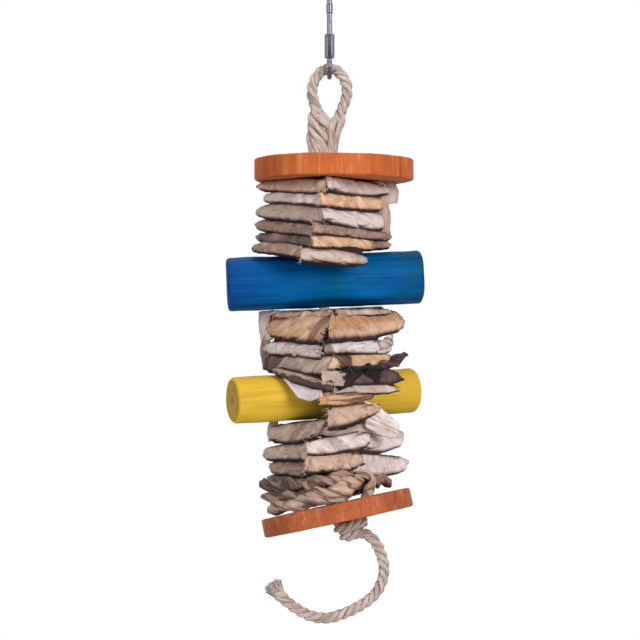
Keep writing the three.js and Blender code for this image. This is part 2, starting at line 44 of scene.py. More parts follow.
# Camera and light
cameraLook = {
    "lens": 92.8,
    "distance": 1.1,
    "aim": (-0.0063, 0, -0.2177),
}
lightLook = {
    "ambient": 0.12,
    "key": {"place": (0.78, -1.12, 0.24), "size": 0.7, "power": 18},
    "fill": {"place": (-0.8, -1.1, 0.1), "size": 0.8, "power": 9},
    "top": {"place": (-0.1, 0.1, 0.85), "size": 0.9, "power": 6},
}
floorLook = {"radius": 1.1, "height": -0.68, "sides": 96, "mottle": (3.0, 0.5, 0.3), "rough": 0.9,
             "tones": ((0.84, 0.84, 0.84, 1), (0.87, 0.87, 0.87, 1))}


def makeCamera():
    data = bpy.data.cameras.new("photoCamera")
    data.lens = cameraLook["lens"]
    camera = bpy.data.objects.new("photoCamera", data)
    bpy.context.collection.objects.link(camera)
    x, y, z = cameraLook["aim"]
    camera.location = (x, y - cameraLook["distance"], z)
    camera.rotation_euler = (math.pi / 2, 0, 0)
    bpy.context.scene.camera = camera


def makeLights():
    target = Vector(cameraLook["aim"])
    for name in ("key", "fill", "top"):
        look = lightLook[name]
        data = bpy.data.lights.new(name + "Light", "AREA")
        data.size = look["size"]
        data.energy = look["power"]
        lamp = bpy.data.objects.new(name + "Light", data)
        bpy.context.collection.objects.link(lamp)
        lamp.location = look["place"]
        lamp.rotation_euler = (target - lamp.location).to_track_quat("-Z", "Y").to_euler()


# Small helpers for nodes
def tone(red, green, blue):        # a colour as it looks, 0 to 255, turned into linear light
    def linear(part):
        part /= 255
        return part / 12.92 if part <= 0.04045 else ((part + 0.055) / 1.055) ** 2.4
    return (linear(red), linear(green), linear(blue), 1)


def wire(tree, value, socket):
    if isinstance(value, bpy.types.NodeSocket):
        tree.links.new(value, socket)
    else:
        socket.default_value = value


def addNode(tree, kind, inputs=None, **settings):
    made = tree.nodes.new(kind)
    for key, value in settings.items():
        setattr(made, key, value)
    for key, value in (inputs or {}).items():
        wire(tree, value, made.inputs[key])
    return made


def calc(tree, operation, first, second=0.0):
    return addNode(tree, "ShaderNodeMath", {0: first, 1: second}, operation=operation).outputs[0]


def times(tree, first, second):
    return calc(tree, "MULTIPLY", first, second)


def spread(tree, value, low, high, toLow=0.0, toHigh=1.0):
    made = addNode(tree, "ShaderNodeMapRange", {"Value": value, "From Min": low, "From Max": high,
                                                "To Min": toLow, "To Max": toHigh})
    return made.outputs["Result"]


def mixTone(tree, factor, first, second):
    return addNode(tree, "ShaderNodeMix", {0: factor, 6: first, 7: second}, data_type="RGBA").outputs[2]


def overlay(tree, base, *coats):           # lays tones over a base, each through its own mask
    for mask, shade in coats:
        base = mixTone(tree, mask, base, shade)
    return base


def toneRamp(tree, factor, *stops):
    made = addNode(tree, "ShaderNodeValToRGB", {"Fac": factor})
    elements = made.color_ramp.elements
    while len(elements) < len(stops):
        elements.new(1)
    for element, (place, value) in zip(elements, stops):
        element.position = place
        element.color = value
    return made.outputs["Color"]


def bump(tree, height, strength, distance):
    made = addNode(tree, "ShaderNodeBump", {"Height": height, "Strength": strength, "Distance": distance})
    return made.outputs["Normal"]


def startGroup(name, inputs, outputs):
    group = bpy.data.node_groups.new(name, "ShaderNodeTree")
    for label, kind, value in inputs:
        socket = group.interface.new_socket(name=label, in_out="INPUT", socket_type="NodeSocket" + kind)
        if value is not None:
            socket.default_value = value
    for label, kind in outputs:
        group.interface.new_socket(name=label, in_out="OUTPUT", socket_type="NodeSocket" + kind)
    return group, group.nodes.new("NodeGroupInput").outputs, group.nodes.new("NodeGroupOutput").inputs


def useGroup(tree, name, **inputs):
    return addNode(tree, "ShaderNodeGroup", inputs, node_tree=bpy.data.node_groups[name]).outputs


def streaks(tree, place, scales, detail):
    return useGroup(tree, "fibreStreaks", Vector=place, Scales=scales, Detail=detail)["Streaks"]


def patches(tree, place, scale, threshold, softness):
    return useGroup(tree, "blotches", Vector=place, Scale=scale, Threshold=threshold,
                    Softness=softness)["Mask"]


def creased(tree, place, scales, sharpness):
    return useGroup(tree, "wrinkles", Vector=place, Scales=scales, Sharpness=sharpness)["Ridges"]


# Effects that several finishes share
effectLook = {"streakRough": 0.6, "streakRange": (0.28, 0.72), "wrinkleBend": 0.4, "wrinkleWidth": 0.16,
              "ringNoise": 90.0}


def stretched(group, given):               # the given place with a scale of its own along each axis
    return addNode(group, "ShaderNodeVectorMath", {0: given["Vector"], 1: given["Scales"]},
                   operation="MULTIPLY").outputs[0]


def makeStreaks():                         # noise drawn out along one direction: grain, veins, fibres
    group, given, result = startGroup("fibreStreaks", [
        ("Vector", "Vector", None), ("Scales", "Vector", (1, 1, 1)), ("Detail", "Float", 3.0)],
        [("Streaks", "Float")])
    noise = addNode(group, "ShaderNodeTexNoise", {
        "Vector": stretched(group, given), "Scale": 1.0, "Detail": given["Detail"],
        "Roughness": effectLook["streakRough"]})
    wire(group, spread(group, noise.outputs["Fac"], *effectLook["streakRange"]), result["Streaks"])


def makeBlotches():                        # patches with a soft edge
    group, given, result = startGroup("blotches", [
        ("Vector", "Vector", None), ("Scale", "Float", 1.0), ("Threshold", "Float", 0.55),
        ("Softness", "Float", 0.08)], [("Mask", "Float")])
    noise = addNode(group, "ShaderNodeTexNoise", {
        "Vector": given["Vector"], "Scale": given["Scale"], "Detail": 4.0, "Distortion": 0.5})
    low = calc(group, "SUBTRACT", given["Threshold"], given["Softness"])
    high = calc(group, "ADD", given["Threshold"], given["Softness"])
    wire(group, spread(group, noise.outputs["Fac"], low, high), result["Mask"])


def makeWrinkles():                        # sharp ridges, as in crumpled leaf
    group, given, result = startGroup("wrinkles", [
        ("Vector", "Vector", None), ("Scales", "Vector", (1, 1, 1)), ("Sharpness", "Float", 1.0)],
        [("Ridges", "Float")])
    noise = addNode(group, "ShaderNodeTexNoise", {
        "Vector": stretched(group, given), "Scale": 1.0, "Detail": 2.0, "Roughness": 0.5,
        "Distortion": effectLook["wrinkleBend"]})
    away = calc(group, "ABSOLUTE", calc(group, "SUBTRACT", noise.outputs["Fac"], 0.5))
    ridge = spread(group, away, 0.0, effectLook["wrinkleWidth"], 1.0, 0.0)
    wire(group, calc(group, "POWER", ridge, given["Sharpness"]), result["Ridges"])


def makeRings():                           # growth rings round the X axis of the given vector
    group, given, result = startGroup("growthRings", [
        ("Vector", "Vector", None), ("Spacing", "Float", 0.0025), ("Wobble", "Float", 0.002)],
        [("Rings", "Float")])
    parts = addNode(group, "ShaderNodeSeparateXYZ", {"Vector": given["Vector"]}).outputs
    flat = addNode(group, "ShaderNodeCombineXYZ", {"Y": parts["Y"], "Z": parts["Z"]}).outputs[0]
    away = addNode(group, "ShaderNodeVectorMath", {0: flat}, operation="LENGTH").outputs["Value"]
    noise = addNode(group, "ShaderNodeTexNoise", {
        "Vector": flat, "Scale": effectLook["ringNoise"], "Detail": 3.0})
    distance = calc(group, "ADD", away, times(group, noise.outputs["Fac"], given["Wobble"]))
    turns = times(group, calc(group, "DIVIDE", distance, given["Spacing"]), 2 * math.pi)
    wire(group, spread(group, calc(group, "SINE", turns), -1, 1), result["Rings"])


def newMaterial(name):
    material = bpy.data.materials.new(name)
    material.use_nodes = True
    tree = material.node_tree
    return material, tree, tree.nodes["Principled BSDF"].inputs


def dress(tree, shader, base, rough, height, relief, shine):
    wire(tree, base, shader["Base Color"])
    wire(tree, rough, shader["Roughness"])
    wire(tree, bump(tree, height, *relief), shader["Normal"])
    shader["Specular IOR Level"].default_value = shine


def localPlace(tree, place, turn):         # object coordinates seen from a piece's own centre and axis
    source = addNode(tree, "ShaderNodeTexCoord").outputs["Object"]
    return addNode(tree, "ShaderNodeMapping", {"Vector": source, "Location": place, "Rotation": turn},
                   vector_type="TEXTURE").outputs["Vector"]


# Dyed wood: long grain on the sides, growth rings on the cut faces
woodLook = {
    "streaks": (("grain", 5.0), ("fineGrain", 2.0), ("scratch", 4.0)), "patchEdge": (0.56, 0.09),
    "plain": (0.42, 0.62), "endReach": (0.03, 0.066), "sideRough": (0.58, 0.44), "fineRelief": 0.4,
    "sideRelief": (0.35, 0.0005), "sideShine": 0.06,
    "pores": (500, 700, 700), "poreDetail": 3.0, "poreStart": 0.55, "poreAmount": 0.4, "ringAmount": 0.4,
    "endPatch": (60.0, 0.52, 0.14), "endPatchAmount": 0.45, "pithEdge": (0.0011, 0.0024), "pithAmount": 0.75,
    "endRough": (0.6, 0.82), "ringRelief": 0.5, "endRelief": (0.3, 0.0004), "endShine": 0.15,
}


def dyedSide(name, look, place, turn):
    material, tree, shader = newMaterial(name)
    local = localPlace(tree, place, turn)
    grain, fine, scratch = (streaks(tree, local, look[key], detail) for key, detail in woodLook["streaks"])
    patch = patches(tree, local, look["patchScale"], *woodLook["patchEdge"])
    # painted shade: the sides darken towards the ends of the log, by endShade
    reach = addNode(tree, "ShaderNodeSeparateXYZ", {"Vector": local}).outputs["X"]
    reach = spread(tree, calc(tree, "ABSOLUTE", reach), *woodLook["endReach"], 0, look["endShade"])
    mark = spread(tree, scratch, look["scratchStart"], 1.0, 0, look["scratchAmount"])
    first, last = woodLook["plain"]
    base = toneRamp(tree, grain, (0.0, look["dark"]), (first, look["base"]), (last, look["base"]),
                    (1.0, look["light"]))
    base = overlay(tree, base, (times(tree, patch, look["patchAmount"]), look["patch"]),
                   (spread(tree, fine, 0, 1, 0, look["fineAmount"]), look["dark"]),
                   (reach, look["dark"]), (mark, look["scratchTone"]))
    rough = spread(tree, grain, 0, 1, *woodLook["sideRough"])
    height = calc(tree, "ADD", grain, times(tree, fine, woodLook["fineRelief"]))
    height = calc(tree, "SUBTRACT", height, mark)
    dress(tree, shader, base, rough, height, woodLook["sideRelief"], woodLook["sideShine"])
    return material


def dyedEnd(name, look, place, turn):
    material, tree, shader = newMaterial(name)
    local = localPlace(tree, place, turn)
    rings = useGroup(tree, "growthRings", Vector=local, Spacing=look["ringSpacing"])["Rings"]
    pores = streaks(tree, local, woodLook["pores"], woodLook["poreDetail"])
    patch = patches(tree, local, *woodLook["endPatch"])
    flat = addNode(tree, "ShaderNodeVectorMath", {0: local, 1: (0, 1, 1)}, operation="MULTIPLY").outputs[0]
    radius = addNode(tree, "ShaderNodeVectorMath", {0: flat}, operation="LENGTH").outputs["Value"]
    base = overlay(
        tree, look["endBase"], (spread(tree, rings, 0, 1, 0, woodLook["ringAmount"]), look["endDark"]),
        (times(tree, patch, woodLook["endPatchAmount"]), look["endPatch"]),
        (spread(tree, pores, woodLook["poreStart"], 1, 0, woodLook["poreAmount"]), look["endDark"]),
        (spread(tree, radius, *woodLook["pithEdge"], woodLook["pithAmount"], 0), look["pith"]))
    height = calc(tree, "SUBTRACT", times(tree, rings, woodLook["ringRelief"]), pores)
    dress(tree, shader, base, spread(tree, pores, 0, 1, *woodLook["endRough"]), height, woodLook["endRelief"],
          woodLook["endShine"])
    return material


# Sisal: fibres along each strand, on the rope's own map
sisalLook = {
    "base": tone(216, 197, 186), "dark": tone(110, 82, 68), "light": tone(252, 245, 241),
    "pink": tone(200, 170, 160), "fibres": ((1.1, 24, 1), 4.0), "yarns": ((0.7, 8, 1), 2.0),
    # painted shade: the gap settings darken the sunken gaps between yarns
    "plain": 0.45, "patch": (0.9, 0.55, 0.12), "patchAmount": 0.45, "gapEdge": 0.48, "gapAmount": 0.85,
    "rough": (0.85, 0.6), "yarnRelief": 1.4, "relief": (0.9, 0.0007), "shine": 0.25,
}


def sisalMaterial():
    look = sisalLook
    material, tree, shader = newMaterial("sisal")
    place = addNode(tree, "ShaderNodeUVMap", uv_map="fibreMap").outputs["UV"]
    fibres, yarns = (streaks(tree, place, *look[key]) for key in ("fibres", "yarns"))
    patch = patches(tree, place, *look["patch"])
    base = toneRamp(tree, fibres, (0.0, look["dark"]), (look["plain"], look["base"]), (1.0, look["light"]))
    # painted shade: the sunken gaps between yarns are darkened
    base = overlay(tree, base, (times(tree, patch, look["patchAmount"]), look["pink"]),
                   (spread(tree, yarns, 0.0, look["gapEdge"], look["gapAmount"], 0), look["dark"]))
    height = calc(tree, "ADD", fibres, times(tree, yarns, look["yarnRelief"]))
    rough = spread(tree, fibres, 0, 1, *look["rough"])
    dress(tree, shader, base, rough, height, look["relief"], look["shine"])
    return material


# Plated steel with faint handling marks, and painted reflections: light and dark bands painted into its
# colour by how squarely the wire faces the camera
chromeLook = {
    "bands": ((0.0, (60, 60, 70)), (0.03, (96, 96, 108)), (0.1, (58, 58, 68)),
              (0.22, (138, 138, 154)), (0.5, (116, 116, 130)), (1.0, (70, 70, 82))),
    "haze": (220.0, 0.5, 0.2), "hazeTone": tone(84, 84, 94), "hazeAmount": 0.25,
    "rub": ((2500, 2500, 160), 3.0), "rough": (0.1, 0.2), "relief": (0.06, 0.0002), "shine": 0.5,
    "metal": 0.75,
}


def chromeMaterial():
    look = chromeLook
    material, tree, shader = newMaterial("chrome")
    place = addNode(tree, "ShaderNodeTexCoord").outputs["Object"]
    haze = patches(tree, place, *look["haze"])
    rub = streaks(tree, place, *look["rub"])
    facing = addNode(tree, "ShaderNodeLayerWeight", {"Blend": 0.5}).outputs["Facing"]
    # painted reflection: the colour follows the facing angle, like the stripes a round wire reflects
    bands = toneRamp(tree, facing, *((share, tone(*shade)) for share, shade in look["bands"]))
    base = mixTone(tree, spread(tree, haze, 0, 1, 0, look["hazeAmount"]), bands, look["hazeTone"])
    dress(tree, shader, base, spread(tree, rub, 0, 1, *look["rough"]), rub, look["relief"], look["shine"])
    shader["Metallic"].default_value = look["metal"]
    return material


# Dried leaf: veins round the fold, patches, painted highlights on wrinkle ridges, and real stains and painted
# shade carried on the mesh
leafShades = ("base", "dark", "light", "patch", "stain", "turned")
leafTones = {                              # in that order, the turned edge only where it isn't the light tone
    "tan": ((186, 152, 130), (124, 93, 76), (220, 194, 174), (160, 124, 104), (62, 41, 33)),
    "pale": ((216, 197, 191), (160, 134, 126), (244, 234, 230), (192, 167, 160), (86, 62, 53)),
    "golden": ((208, 164, 130), (158, 112, 82), (238, 208, 180), (188, 140, 106), (58, 25, 20)),
    "amber": ((190, 140, 102), (140, 94, 62), (224, 180, 144), (172, 120, 84), (74, 42, 30), (214, 174, 150)),
    "grey": ((180, 154, 141), (120, 96, 86), (214, 194, 183), (156, 129, 117), (54, 32, 29)),
    "brown": ((152, 120, 106), (86, 62, 53), (196, 168, 153), (112, 82, 70), (40, 27, 25)),
    "dark": ((112, 89, 81), (56, 41, 40), (160, 135, 124), (82, 62, 58), (26, 18, 21)),
    "maroon": ((62, 36, 34), (28, 16, 17), (112, 80, 70), (44, 25, 26), (20, 11, 13), (190, 158, 138)),
    "white": ((224, 211, 211), (168, 148, 148), (248, 243, 243), (204, 184, 186), (104, 74, 56)),
}
leafLook = {
    "veins": ((9, 0.5, 1), 4.0), "fineVeins": ((30, 1.2, 1), 2.0), "crumple": ((1.1, 1.5, 1), 4.0),
    "patch": (0.6, 0.54, 0.12), "ridges": ((0.8, 0.4, 1), 1.6), "folds": ((0.6, 0.3, 1), 2.5),
    "plain": (0.38, 0.66), "veinAmount": 0.85, "patchAmount": 0.55, "crumpleAmount": 0.5, "fineAmount": 0.3,
    # painted light: the ridge amount paints highlights on wrinkle ridges, the fold amount paints shade in
    # their folds, and deep is painted shade deep in a fold
    "ridgeAmount": 0.3, "foldAmount": 0.4, "deep": tone(20, 11, 8), "deepAmount": 0.9, "rough": (0.56, 0.36),
    "dull": 0.3, "veinRelief": 0.35, "crumpleRelief": 0.5, "relief": (0.75, 0.0006), "shine": 0.3,
    "fineEdge": 0.4, "turnedVeins": (0, 1, 0.6, 1.0), "stainVeins": (0.35, 0.9, 1.0, 0.55),
    "deepEdge": (1.05, 1.6), "dullEdge": (0.2, 1),
}


def leafMaterial(name, tones):
    look = leafLook
    shades = {key: tone(*value) for key, value in zip(leafShades, tones)}
    material, tree, shader = newMaterial("leaf" + name.capitalize())
    place = addNode(tree, "ShaderNodeUVMap", uv_map="leafMap").outputs["UV"]
    veins, fine, crumple = (streaks(tree, place, *look[key]) for key in ("veins", "fineVeins", "crumple"))
    patch = patches(tree, place, *look["patch"])
    ridges, folds = (creased(tree, place, *look[key]) for key in ("ridges", "folds"))
    # this mask holds real stains and painted shade in tucks, crease lines, pleats, grooves and along the
    # turned edge
    stain, turned = (addNode(tree, "ShaderNodeAttribute", attribute_name=key).outputs["Fac"]
                     for key in ("stain", "turned"))
    first, last = look["plain"]
    veined = toneRamp(tree, veins, (0.0, shades["dark"]), (first, shades["base"]), (last, shades["base"]),
                      (1.0, shades["light"]))
    base = overlay(
        tree, shades["base"], (look["veinAmount"], veined),
        (times(tree, patch, look["patchAmount"]), shades["patch"]),
        (spread(tree, crumple, 0.5, 1, 0, look["crumpleAmount"]), shades["light"]),
        (spread(tree, fine, 0, look["fineEdge"], look["fineAmount"], 0), shades["dark"]),
        # painted highlight on raised wrinkle ridges and painted shade in sunken folds, following the bump
        (times(tree, ridges, look["ridgeAmount"]), shades["light"]),
        (times(tree, folds, look["foldAmount"]), shades["dark"]),
        (times(tree, turned, spread(tree, veins, *look["turnedVeins"])),
         shades.get("turned", shades["light"])),
        (times(tree, stain, spread(tree, veins, *look["stainVeins"])), shades["stain"]),
        # painted shade: the near-black deep tone where the mask passes 1, deep in a fold
        (spread(tree, stain, *look["deepEdge"], 0, look["deepAmount"]), look["deep"]))
    rough = calc(tree, "ADD", spread(tree, crumple, 0, 1, *look["rough"]),
                 spread(tree, stain, *look["dullEdge"], 0, look["dull"]))
    height = calc(tree, "ADD", times(tree, veins, look["veinRelief"]),
                  times(tree, crumple, look["crumpleRelief"]))
    height = calc(tree, "ADD", height, times(tree, calc(tree, "SUBTRACT", ridges, folds), 0.5))
    dress(tree, shader, base, rough, height, look["relief"], look["shine"])
    return material


# Mesh helpers
def deselect():
    if bpy.context.object and bpy.context.object.mode != "OBJECT":
        bpy.ops.object.mode_set(mode="OBJECT")
    bpy.ops.object.select_all(action="DESELECT")


def makeActive(piece):
    deselect()
    piece.select_set(True)
    bpy.context.view_layer.objects.active = piece


def settle(piece):                         # puts its place, turn and scale into its mesh
    makeActive(piece)
    bpy.ops.object.transform_apply(location=True, rotation=True, scale=True)


def applyModifier(piece, kind, **settings):
    makeActive(piece)
    modifier = piece.modifiers.new(kind.lower(), kind)
    for key, value in settings.items():
        setattr(modifier, key, value)
    bpy.ops.object.modifier_apply(modifier=modifier.name)


def cutAway(piece, cutter):
    applyModifier(piece, "BOOLEAN", object=cutter, operation="DIFFERENCE", solver="EXACT")
    bpy.data.objects.remove(cutter)


def smoothStep(value):
    value = np.clip(value, 0, 1)
    return value * value * (3 - 2 * value)


def ramp(value, start, width):             # a smooth step up, or down where the width is below 0
    return smoothStep((value - start) / width)


hillTiles = 64                             # after so many the hills repeat
spanSteps = 24                             # points worked out on each span of a path
sideHint = (0.3, 1, 0.2)                   # no path sets out along it
sweepLook = {"lumps": (3.1, 1.7), "mapSize": 10, "mapShift": (3.7, 1.9)}


def hills(seed, first, second):            # smooth random hills from -1 to 1 over two coordinates
    n = hillTiles
    values = np.random.default_rng(seed).uniform(-1, 1, (n, n))
    i, j = np.floor(first).astype(int), np.floor(second).astype(int)
    u, v = smoothStep(first - i), smoothStep(second - j)
    near = values[i % n, j % n] * (1 - u) + values[(i + 1) % n, j % n] * u
    far = values[i % n, (j + 1) % n] * (1 - u) + values[(i + 1) % n, (j + 1) % n] * u
    return near * (1 - v) + far * v


def waves(seed, value):                    # the same along one coordinate
    return hills(seed, value, 0 * value)


def gridFaces(rows, columns, first=0, closed=False):
    faces = []
    last = columns if closed else columns - 1
    for row in range(rows - 1):
        for column in range(last):
            a = first + row * columns + column
            b = first + row * columns + (column + 1) % columns
            faces.append((a, b, b + columns, a + columns))
    return faces


def meshPiece(name, points, faces, uvs, mapName, material, attributes=None):   # points in mm
    mesh = bpy.data.meshes.new(name)
    mesh.from_pydata((np.asarray(points) * mm).tolist(), [], faces)
    corners = np.empty(len(mesh.loops), dtype=np.int32)
    mesh.loops.foreach_get("vertex_index", corners)
    layer = mesh.uv_layers.new(name=mapName)
    layer.data.foreach_set("uv", np.asarray(uvs)[corners].astype(np.float32).ravel())
    for label, values in (attributes or {}).items():
        layer = mesh.attributes.new(label, "FLOAT", "POINT")
        layer.data.foreach_set("value", np.asarray(values, dtype=np.float32))
    mesh.materials.append(material)
    mesh.shade_smooth()
    piece = bpy.data.objects.new(name, mesh)
    bpy.context.collection.objects.link(piece)
    return piece


def smoothPath(points, step):              # even points along a Catmull-Rom curve through the given ones
    given = np.asarray(points, dtype=float)
    ends = np.vstack([2 * given[0] - given[1], given, 2 * given[-1] - given[-2]])
    share = np.linspace(0, 1, spanSteps, endpoint=False)[:, None]
    runs = []
    for i in range(len(given) - 1):
        a, b, c, d = ends[i:i + 4]
        runs.append(0.5 * (2 * b + (c - a) * share + (2 * a - 5 * b + 4 * c - d) * share ** 2
                           + (3 * b - a - 3 * c + d) * share ** 3))
    dense = np.vstack(runs + [given[-1:]])
    along = np.concatenate([[0], np.cumsum(np.linalg.norm(np.diff(dense, axis=0), axis=1))])
    count = max(3, int(round(along[-1] / step)) + 1)
    even = np.linspace(0, along[-1], count)
    return np.column_stack([np.interp(even, along, dense[:, k]) for k in range(3)]), even


def carriedFrames(path):                   # two directions square to the path, carried along without twist
    tangents = np.gradient(path, axis=0)
    tangents /= np.linalg.norm(tangents, axis=1)[:, None]
    side = np.cross(tangents[0], sideHint)
    sides = []
    for tangent in tangents:
        side = side - tangent * np.dot(side, tangent)
        side = side / np.linalg.norm(side)
        sides.append(side)
    sides = np.array(sides)
    return tangents, sides, np.cross(tangents, sides)


def sweep(path, along, radii, sides, squash=1.0, turns=None, seed=0, lumps=0.0, relief=1.0):
    first, second = carriedFrames(path)[1:]
    angles = np.linspace(0, 2 * math.pi, sides, endpoint=False)
    spin = np.zeros(len(path)) if turns is None else turns
    long, wide = sweepLook["lumps"]
    rough = 1 + lumps * hills(seed, along[:, None] / long, np.abs(angles - math.pi)[None, :] * wide)
    rough = rough * relief
    x = np.cos(angles)[None, :] * radii[:, None] * rough
    y = np.sin(angles)[None, :] * radii[:, None] * rough * squash
    turnedX = x * np.cos(spin)[:, None] - y * np.sin(spin)[:, None]
    turnedY = x * np.sin(spin)[:, None] + y * np.cos(spin)[:, None]
    rings = path[:, None, :] + turnedX[..., None] * first[:, None, :]
    rings = rings + turnedY[..., None] * second[:, None, :]
    size, (right, up) = sweepLook["mapSize"], sweepLook["mapShift"]
    around = np.abs(angles / math.pi - 1) * math.pi * radii.mean() / size  # mirrored, so the map has no seam
    uvs = np.broadcast_arrays(along[:, None] / size + seed * right, around[None, :] + seed * up)
    uvs = np.stack(uvs, axis=-1).reshape(-1, 2)
    return rings.reshape(-1, 3), gridFaces(len(path), sides, closed=True), uvs, sides


def gather(parts):                         # joins swept parts, closing each one at both ends
    points, faces, uvs = [], [], []
    for partPoints, partFaces, partUvs, sides in parts:
        first = sum(len(p) for p in points)
        faces += [tuple(first + i for i in face) for face in partFaces]
        count = len(partPoints)
        faces.append(tuple(first + i for i in reversed(range(sides))))
        faces.append(tuple(first + count - sides + i for i in range(sides)))
        points.append(partPoints)
        uvs.append(partUvs)
    return np.vstack(points), faces, np.vstack(uvs)


# Sisal rope: three twisted strands, drawn along a path
ropeLook = {"radius": 3.75, "strandShare": 0.468, "pitch": 17.5, "step": 0.8, "sides": 14, "lumps": 0.07,
            "yarnLean": 0.055}


def ropeParts(points, seed, flare=None):
    path, along = smoothPath(points, ropeLook["step"])
    first, second = carriedFrames(path)[1:]
    strand = ropeLook["radius"] * ropeLook["strandShare"]
    grow = flare(along) if flare else np.ones(len(path))
    offset = (ropeLook["radius"] - strand) * grow
    parts = []
    for k in range(3):
        angle = 2 * math.pi * (k / 3 - along / ropeLook["pitch"])
        line = path + (offset * np.cos(angle))[:, None] * first + (offset * np.sin(angle))[:, None] * second
        part = sweep(line, along, strand * grow, ropeLook["sides"], seed=seed + k, lumps=ropeLook["lumps"])
        uvs = part[2]
        uvs[:, 1] += ropeLook["yarnLean"] * uvs[:, 0]
        parts.append(part)
    return parts


eyeLook = {
    "crown": [(-7.45, 0, -84), (-7.6, 0, -80), (-10.2, 0, -73), (-11.6, 0, -67), (-11.0, 0, -61),
              (-8.6, 0, -55.6), (-4.6, 0, -51.6), (0, 0, -49.95), (4.6, 0, -51.4), (8.9, 0, -55.6),
              (11.4, 0, -61), (11.6, 0, -67), (10.0, 0, -73), (7.6, 0, -79), (5.4, 1.2, -85),
              (3.4, 2.2, -91)],
    "seed": 11, "hairSeed": 21,
}
neckLook = {                               # strands tucked under and over one another below the eye
    "strands": [
        [(-11.0, -0.6, -77), (-9.4, -3.0, -81.6), (-5.2, -5.0, -85.2), (-1.0, -4.8, -88.4), (1.4, -3, -91.6)],
        [(-12.2, -0.4, -80), (-11.6, -3.2, -85.6), (-7.8, -5.6, -90.6), (-3.4, -5.8, -95),
         (-0.8, -4.6, -99.6)],
        [(-12.4, 0.2, -85.4), (-12.2, -3.2, -91), (-9.2, -5.4, -95.8), (-5.2, -5.8, -100.2),
         (-2.6, -4.8, -105), (-1.8, -4, -111.4)],
        [(3.2, -0.4, -83.4), (2.0, -4.4, -87.6), (0.8, -6.4, -93.6), (1.0, -6.2, -99.6), (0.8, -4.8, -106),
         (0.6, -4, -111.4)],
        [(8.0, 0, -79.6), (8.2, -1.0, -85), (6.4, -2.8, -90), (4.4, -3.4, -96), (3.4, -3.2, -103),
         (2.8, -2.6, -111.4)],
        [(-11.8, 1.4, -90.6), (-13.0, -1.8, -96.4), (-12.2, -4.0, -102), (-11.0, -4.0, -107),
         (-10.4, -3.4, -111.4)],
        [(-11.6, -2.8, -96), (-9.8, -5.4, -100.8), (-8.0, -5.6, -105.6), (-7.4, -4.6, -111.4)],
        [(-8.2, -4.4, -99), (-6.0, -5.6, -103.4), (-4.6, -5.0, -108), (-4.2, -4.4, -111.4)],
        [(-7.6, -1.4, -77), (-5.0, -3.4, -81), (-2.0, -3.4, -84.2), (0.2, -2.4, -87)],
        [(-10, 3, -82), (-11, 4.4, -92), (-8, 5.2, -102), (-5, 4.6, -111.4)],
        [(-4, 4.6, -82), (-6, 5.8, -92), (-3, 5.6, -102), (-1, 4.6, -111.4)],
        [(5, 3.4, -84), (1, 5.4, -93), (1.6, 5, -103), (2, 4, -111.4)],
    ],
    "radius": 2.35, "tip": 0.72, "lumps": 0.1, "seed": 30,
    "core": [(-3, 0, -86), (-3.6, 0, -98), (-3.6, 0, -112)],
    "coreRadius": 5.2, "coreSeed": 29, "hairRadius": 8, "hairSeed": 22,
}
coreLook = {"path": [(-3.4, 0, -111.2), (-3.4, 0, -200), (-3.4, 0, -283.4), (3.2, -3.4, -314),
                     (11, -7.2, -350.0)], "seed": 50}
knotLook = {"path": [(11.6, -7.4, -348.4), (9.4, -8.2, -351.6), (6.2, -9.6, -353.6), (6.4, -13.4, -355.2),
                     (11.2, -15.0, -354.2), (17, -13.8, -351.8), (21.6, -9.8, -350.8), (21.4, -4.6, -352.6),
                     (16.6, -2.6, -355.4), (11.0, -4.4, -358.2), (9.4, -9.0, -360.2), (12.6, -12.6, -360.2),
                     (17.2, -11.6, -358.6), (21.2, -9.6, -358.4), (23.6, -9, -359.2)],
            "seed": 60, "hairSeed": 24}
tailLook = {
    "depth": -9,
    "route": [(23.6, -359.2), (27.2, -361.4), (30.4, -364.6), (32.8, -369), (34.6, -374), (35.8, -379),
              (36, -384), (35.2, -389), (33, -394.4), (29.4, -399.6), (24.4, -404), (18.4, -407.6),
              (12, -410.8), (5, -413.4), (-2, -414.8), (-9, -414.2), (-16, -411.8), (-22.4, -408.2),
              (-28, -404.2), (-32.6, -399.8), (-36, -395.2)],
    "flareStart": 0.9, "flare": 0.22, "seed": 70, "hairSeed": 23,
}


def ropePiece(name, parts, material):
    piece = meshPiece(name, *gather(parts), "fibreMap", material)
    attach(piece, "rope")
    return piece


def strandPart(points, radius, seed):
    path, along = smoothPath(points, ropeLook["step"])
    ease = smoothStep(np.minimum(along, along[-1] - along) / radius)
    radii = radius * (neckLook["tip"] + (1 - neckLook["tip"]) * ease)
    return sweep(path, along, radii, ropeLook["sides"], seed=seed, lumps=neckLook["lumps"])


# Loose fibres: hair-thin curved threads, each with its root, way and length in mm
fibreLook = {"steps": 6, "sides": 3, "tip": 0.45}


def fibrePiece(name, threads, radius, seed, curl, material):
    random = np.random.default_rng(seed)
    share = np.linspace(0, 1, fibreLook["steps"])[:, None]
    radii = radius * np.linspace(1, fibreLook["tip"], fibreLook["steps"])
    parts = []
    for root, way, length in threads:
        way = np.asarray(way) / np.linalg.norm(way)
        bend = random.normal(0, curl, 3) * length
        path = root + way * length * share + bend * share ** 2
        parts.append(sweep(path, share[:, 0] * length, radii, fibreLook["sides"], seed=seed % 7))
    piece = meshPiece(name, *gather(parts), "fibreMap", material)
    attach(piece, "rope")
    return piece


brushLook = {"count": 420, "length": 11, "lengths": (0.8, 1.05), "rooted": 0.62, "rootRadius": 3.0,
             "tipRadius": 6.2, "radius": 0.4, "curl": 0.05, "seed": 17}
hairLook = {"eye": 46, "neck": 60, "knot": 40, "tail": 70, "radius": 0.1, "lengths": (2.0, 6.5),
            "rooted": 0.85, "aside": 0.5, "stray": 0.25, "curl": 0.3}


